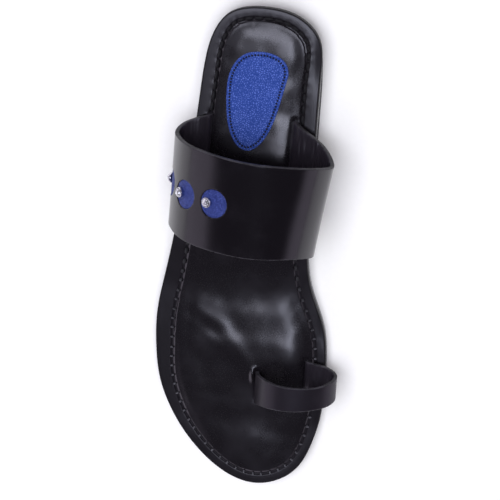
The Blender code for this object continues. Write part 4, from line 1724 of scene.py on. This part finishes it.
    def stud(self, number: int, metal: bpy.types.Material, crystal: bpy.types.Material) -> list:
        """A cut crystal held by six claws in a shallow cup.

        Args:
            number: which crystal.
            metal: the cup's material.
            crystal: the stone's material.

        Returns:
            The cup and the stone.
        """
        seat = self.seat(number)
        cup, stone = self.cup / 2, self.stone / 2
        bore = stone + 0.15 * MM
        wall = np.array([
            (TIP, 0.0), (0.92 * cup, 0.0), (cup, 0.12 * MM), (cup, 1.0 * MM), (0.97 * cup, 1.25 * MM),
            (0.93 * cup, 1.38 * MM), (bore + 0.1 * MM, 1.4 * MM), (bore, 1.3 * MM), (bore, 0.4 * MM),
            (TIP, 0.4 * MM),
        ])
        wave = (self.claws, self.claw_height)
        ring = self.turned(f"setting_{number + 1}", wall, self.sides, metal, seat, False, wave)
        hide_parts(f"stud_cup_{number + 1}")
        facets = [
            (TIP, 0.7), (0.45 * stone, 0.75), (stone, 1.45), (stone, 1.75), (0.80 * stone, 2.25),
            (0.52 * stone, 2.65), (TIP, 2.68),
        ]
        outline = np.array([(radius, height * MM) for radius, height in facets])
        gem = self.turned(f"crystal_{number + 1}", outline, self.facets, crystal, seat, True)
        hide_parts(f"stud_stone_{number + 1}")
        return [ring, gem]

    def build(
        self,
        band_piece: bpy.types.Object,
        leather: bpy.types.Material,
        metal: bpy.types.Material,
        crystal: bpy.types.Material,
    ) -> list:
        """Cuts the pockets and makes the inlays and crystals.

        Args:
            band_piece: the band's piece.
            leather: the inlays' material.
            metal: the cups' material.
            crystal: the stones' material.

        Returns:
            The nine pieces.
        """
        made = []
        for number in range(3):
            self.pockets(band_piece, number)
            made.append(self.inlay(number, leather))
            made += self.stud(number, metal, crystal)
        return made


@dataclass
class HeelPatch:
    """The blue teardrop on the heel seat, with its machine stitching.

    rim, rim_width: how far the edge is rounded down, and over what distance; groove, groove_half: the
    same for the stitches' groove; level_from: the distance in where rings give way to the middle.
    """

    sole: Sole
    length: float = 52.5 * MM
    width: float = 31.5 * MM
    from_back: float = 22.7 * MM
    off_centre: float = 1.2 * MM
    thickness: float = 0.9 * MM
    stitch_inset: float = 1.7 * MM
    stitch_pitch: float = 1.6 * MM
    stitch_length: float = 1.05 * MM
    thread: float = 0.50 * MM
    rim: float = 0.45 * MM
    rim_width: float = 0.8 * MM
    groove: float = 0.42 * MM
    groove_half: float = 0.60 * MM
    level_from: float = 3.4 * MM

    def loop(self, count: int) -> np.ndarray:
        """The outline in plan.

        Args:
            count: how many points it has.

        Returns:
            The points, one a row.
        """
        corners = [(self.off_centre + across * self.width, self.from_back + along * self.length)
                   for along, across in PATCH_OUTLINE]
        return smooth_curve(np.array(corners), count + 1, closed=True)[:-1]

    def height(self, plan: np.ndarray, inset: float) -> np.ndarray:
        """Height of its top: even over the footbed, but sunk to the stitches and rounded off at its rim.

        Args:
            plan: places in plan, one a row.
            inset: their distance in from the outline.

        Returns:
            The heights.
        """
        rim = self.rim * (1 - ease(np.array(inset / self.rim_width))) ** 2
        groove = self.groove * math.exp(-(((inset - self.stitch_inset) / self.groove_half) ** 2))
        return self.sole.pad_top(*plan.T) + self.thickness - rim - groove

    def build(self, leather: bpy.types.Material, thread: bpy.types.Material) -> list:
        """Makes the patch and its stitches.

        Args:
            leather: the patch's material.
            thread: the stitches' material.

        Returns:
            The two pieces.
        """
        sole = self.sole
        loop = self.loop(360)
        inward = left_of(loop)
        middle = loop.mean(axis=0)
        if ((middle - loop) * inward).sum() < 0:
            inward = -inward
        spine = np.stack([0 * loop[:, 0] + middle[0], np.clip(loop[:, 1], 37 * MM, 60 * MM)], axis=1)
        rows = [sole.world(*plan.T, sole.pad_top(*plan.T) + 0.05 * MM) for plan in (spine, loop)]
        insets = np.array([0.0, 0.08, 0.25, 0.5, 0.8, 1.1, 1.4, 1.7, 2.0, 2.3, 2.7]) * MM
        for inset in (*insets, self.level_from):
            plan = loop + inward * inset
            rows.append(sole.world(*plan.T, self.height(plan, inset)))
        rim = plan
        for share in np.linspace(0, 1, 16)[1:]:
            plan = rim * (1 - share) + spine * share
            rows.append(sole.world(*plan.T, self.height(plan, self.level_from)))
        patch = grid_piece("blue_heel_patch", np.array(rows), [leather], wrap=True, weld=WELD)
        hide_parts("heel_patch")
        line = loop + inward * self.stitch_inset
        travel, around = travel_round(line)
        middles = stitch_middles(around, self.stitch_pitch)

        def spot(place: np.ndarray) -> np.ndarray:
            """Points in the groove.

            Args:
                place: distances along it.

            Returns:
                The points.
            """
            x, y = places_along(line, travel, around, place)
            z = self.height(np.stack([x, y], axis=1), self.stitch_inset) + 0.02 * MM
            return sole.world(x, y, z)

        half = self.stitch_length / 2
        ends = spot(middles - half), spot(middles + half)
        stitches = capsules("patch_stitches", *ends, self.thread, thread)
        return [patch, stitches]


@dataclass(frozen=True)
class SoftBox:
    """A soft box: its direction, its distance, its size across and along the foot, and its power.

    azimuth: degrees from the toe's direction towards the foot's outer side; zenith: degrees from overhead.
    glossy: whether it shows in polished surfaces, or only lights them.
    """

    name: str
    azimuth: float
    zenith: float
    distance: float
    size: tuple[float, float]
    power: float
    glossy: bool = True
    colour: Colour = (1.0, 1.0, 1.0)

    def build(self, target: Vector) -> None:
        """Puts the light up, turned to the target.

        Args:
            target: the point that it faces.
        """
        a, z = math.radians(self.azimuth), math.radians(self.zenith)
        way = Vector((math.sin(a) * math.sin(z), math.cos(a) * math.sin(z), math.cos(z)))
        light = bpy.data.lights.new(self.name, "AREA")
        light.shape = "RECTANGLE"
        light.size, light.size_y = self.size
        light.energy = self.power
        light.color = self.colour
        lamp = bpy.data.objects.new(self.name, light)
        lamp.location = target + way * self.distance
        across = (Vector((1, 0, 0)) - way * way.x).normalized()
        lamp.rotation_euler = Matrix([across, way.cross(across), way]).transposed().to_euler()
        lamp.visible_glossy = self.glossy
        lamp.visible_camera = False
        bpy.context.scene.collection.objects.link(lamp)


@dataclass
class Studio:
    """A pale floor, soft lights and the camera, at the photograph's angle to the shoe.

    tilt, side, roll: degrees that the view leans towards the heel and the inner side, and turns in its
    own plane; image_scale: millimetres to a pixel at the target; sensor: millimetres. The background
    goes from horizon to overhead between the heights sky_low and sky_high, which sky_lean tilts.
    """

    tilt: float = 15.5
    side: float = 7.0
    roll: float = 3.6247
    distance: float = 1.4
    image_scale: float = 0.52705
    sensor: float = 36.0
    target: tuple[float, float, float] = (0.0, 85.0 * MM, 12.0 * MM)
    floor_reach: float = 3.0
    floor_gap: float = 0.05 * MM
    sky_lean: float = 0.10
    sky_low: float = 0.36
    sky_high: float = 0.62
    overhead: Colour = (0.050, 0.048, 0.058)
    horizon: Colour = (0.82, 0.75, 0.90)
    lights: tuple[SoftBox, ...] = (
        SoftBox("overhead_box", 143, 8.7, 1.7, (0.96, 0.54), 5.5, colour=(0.88, 0.90, 1.06)),
        SoftBox("side_box", -56, 6.0, 1.7, (0.33, 0.26), 1.4, colour=(0.86, 0.90, 1.08)),
        SoftBox("fill_box", 0, 0, 1.6, (1.6, 1.6), 26, glossy=False),
    )

    def camera(self) -> None:
        """Sets up the camera: its axes come from the tilt, the side lean and the roll."""
        a, t, r = math.radians(self.side), math.radians(self.tilt), math.radians(self.roll)
        level = (-math.sin(a), -math.sin(t))
        back = Vector((*level, math.sqrt(1 - level[0] ** 2 - level[1] ** 2)))
        up = Vector((math.sin(r), -math.cos(r), 0))
        right = up.cross(back).normalized()
        up = back.cross(right)
        data = bpy.data.cameras.new("camera")
        data.sensor_width = self.sensor
        data.lens = self.sensor * (self.distance / MM / self.image_scale) / IMAGE_SIDE
        data.clip_start = 0.05
        view = bpy.data.objects.new("camera", data)
        turn = Matrix([right, up, back]).transposed().to_4x4()
        aim = Vector(self.target)
        view.matrix_world = Matrix.Translation(aim + back * self.distance) @ turn
        bpy.context.scene.collection.objects.link(view)
        bpy.context.scene.camera = view

    def floor(self) -> None:
        """The floor: a wide sheet of pale paper."""
        reach = np.linspace(-self.floor_reach, self.floor_reach, 5)
        x, y = np.meshgrid(reach, reach, indexing="ij")
        board = Board(bpy.data.materials.new("pale paper"))
        here = board.here()
        fibre = board.noise(here, 400, 3)
        paper = board.finish(
            Base_Color=board.blend(fibre, opaque((0.91, 0.91, 0.90)), opaque((0.95, 0.95, 0.94))),
            Roughness=0.9 + (fibre - 0.5) * 0.1,
        )
        piece = grid_piece("floor", np.stack([x, y, 0 * x - self.floor_gap], axis=-1), [paper])

    def build(self) -> None:
        """Makes the floor, the lights, the background and the camera."""
        self.floor()
        for light in self.lights:
            light.build(Vector(self.target))
        world = bpy.data.worlds.new("studio")
        sky = Board(world, "Background")
        way = sky.add("ShaderNodeTexCoord", {}, {}, "Generated")
        x, _, height = sky.split(way)
        share = (height - x * self.sky_lean).between(self.sky_low, self.sky_high)
        sky.finish(Color=sky.blend(share, opaque(self.horizon), opaque(self.overhead)))
        bpy.context.scene.world = world
        bpy.context.scene.view_settings.view_transform = "Standard"
        self.camera()


def main() -> None:
    """Loads the frame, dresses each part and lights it."""
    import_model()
    sole = Sole()
    band, loop = instep_band(sole), toe_loop(sole)
    glossy = BlackLeather(
        "footbed leather", roughness=0.28, coat=0.9, gloss=0.45, seam=1.0 * MM, grain=5e-6
    ).material()
    footbed_edge = CutEdge("footbed edge", (0.008, 0.007, 0.009), 0.7).material()
    # The thread's second colour is the paler grey of its painted glints towards the toe
    thread = Thread("waxed thread", (0.003, 0.003, 0.004), (0.13, 0.13, 0.15)).material()
    strap_face = BlackLeather("strap leather", roughness=0.17).material()
    loop_face = BlackLeather("loop leather", roughness=0.48, tint=(0.92, 0.84, 1.0)).material()
    lining = BlackLeather(
        "lining leather", (0.012, 0.010, 0.014), (0.020, 0.018, 0.023), 0.32, wrinkle=0.00012,
        wrinkle_pitch=(2.2, 0.22, 2.2),
    ).material()
    edge = CutEdge("cut edge").material()
    blue = BlueLeather("blue patch leather").material()
    smooth_blue = BlueLeather(
        "blue inlay leather", (0.010, 0.020, 0.120), (0.070, 0.100, 0.370), 0.00012, 1300
    ).material()
    blue_thread = Thread("blue thread", (0.003, 0.005, 0.022), (0.003, 0.005, 0.022)).material()
    metal = PolishedMetal("plated metal").material()
    crystal = FoiledCrystal("crystal").material()

    made = Footbed(sole).build(glossy, footbed_edge, thread, (band, loop))
    log.info("footbed and its stitches")
    sheet, tread = SheetRubber("sheet rubber").material(), TreadRubber("tread rubber").material()
    made += Outsole(sole).build(sheet, tread)
    log.info("outsole and heel lift")
    band_piece = band.shell((strap_face, edge, lining), 0.16 * MM)
    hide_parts("instep_band")
    made.append(band_piece)
    made += Inlays(band).build(band_piece, smooth_blue, metal, crystal)
    log.info("instep band, inlays and crystals")
    loop_piece = loop.shell((loop_face, edge, lining), 0.06 * MM)
    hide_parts("toe_loop")
    made.append(loop_piece)
    log.info("toe loop")
    made += HeelPatch(sole).build(blue, blue_thread)
    log.info("heel patch")
    for piece in made:
        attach(piece, "root")
        log.info("%s: %d faces", piece.name, len(piece.data.polygons))
    Studio().build()


if __name__ == "__main__":
    logging.basicConfig(level=logging.INFO, format="%(message)s")
    main()
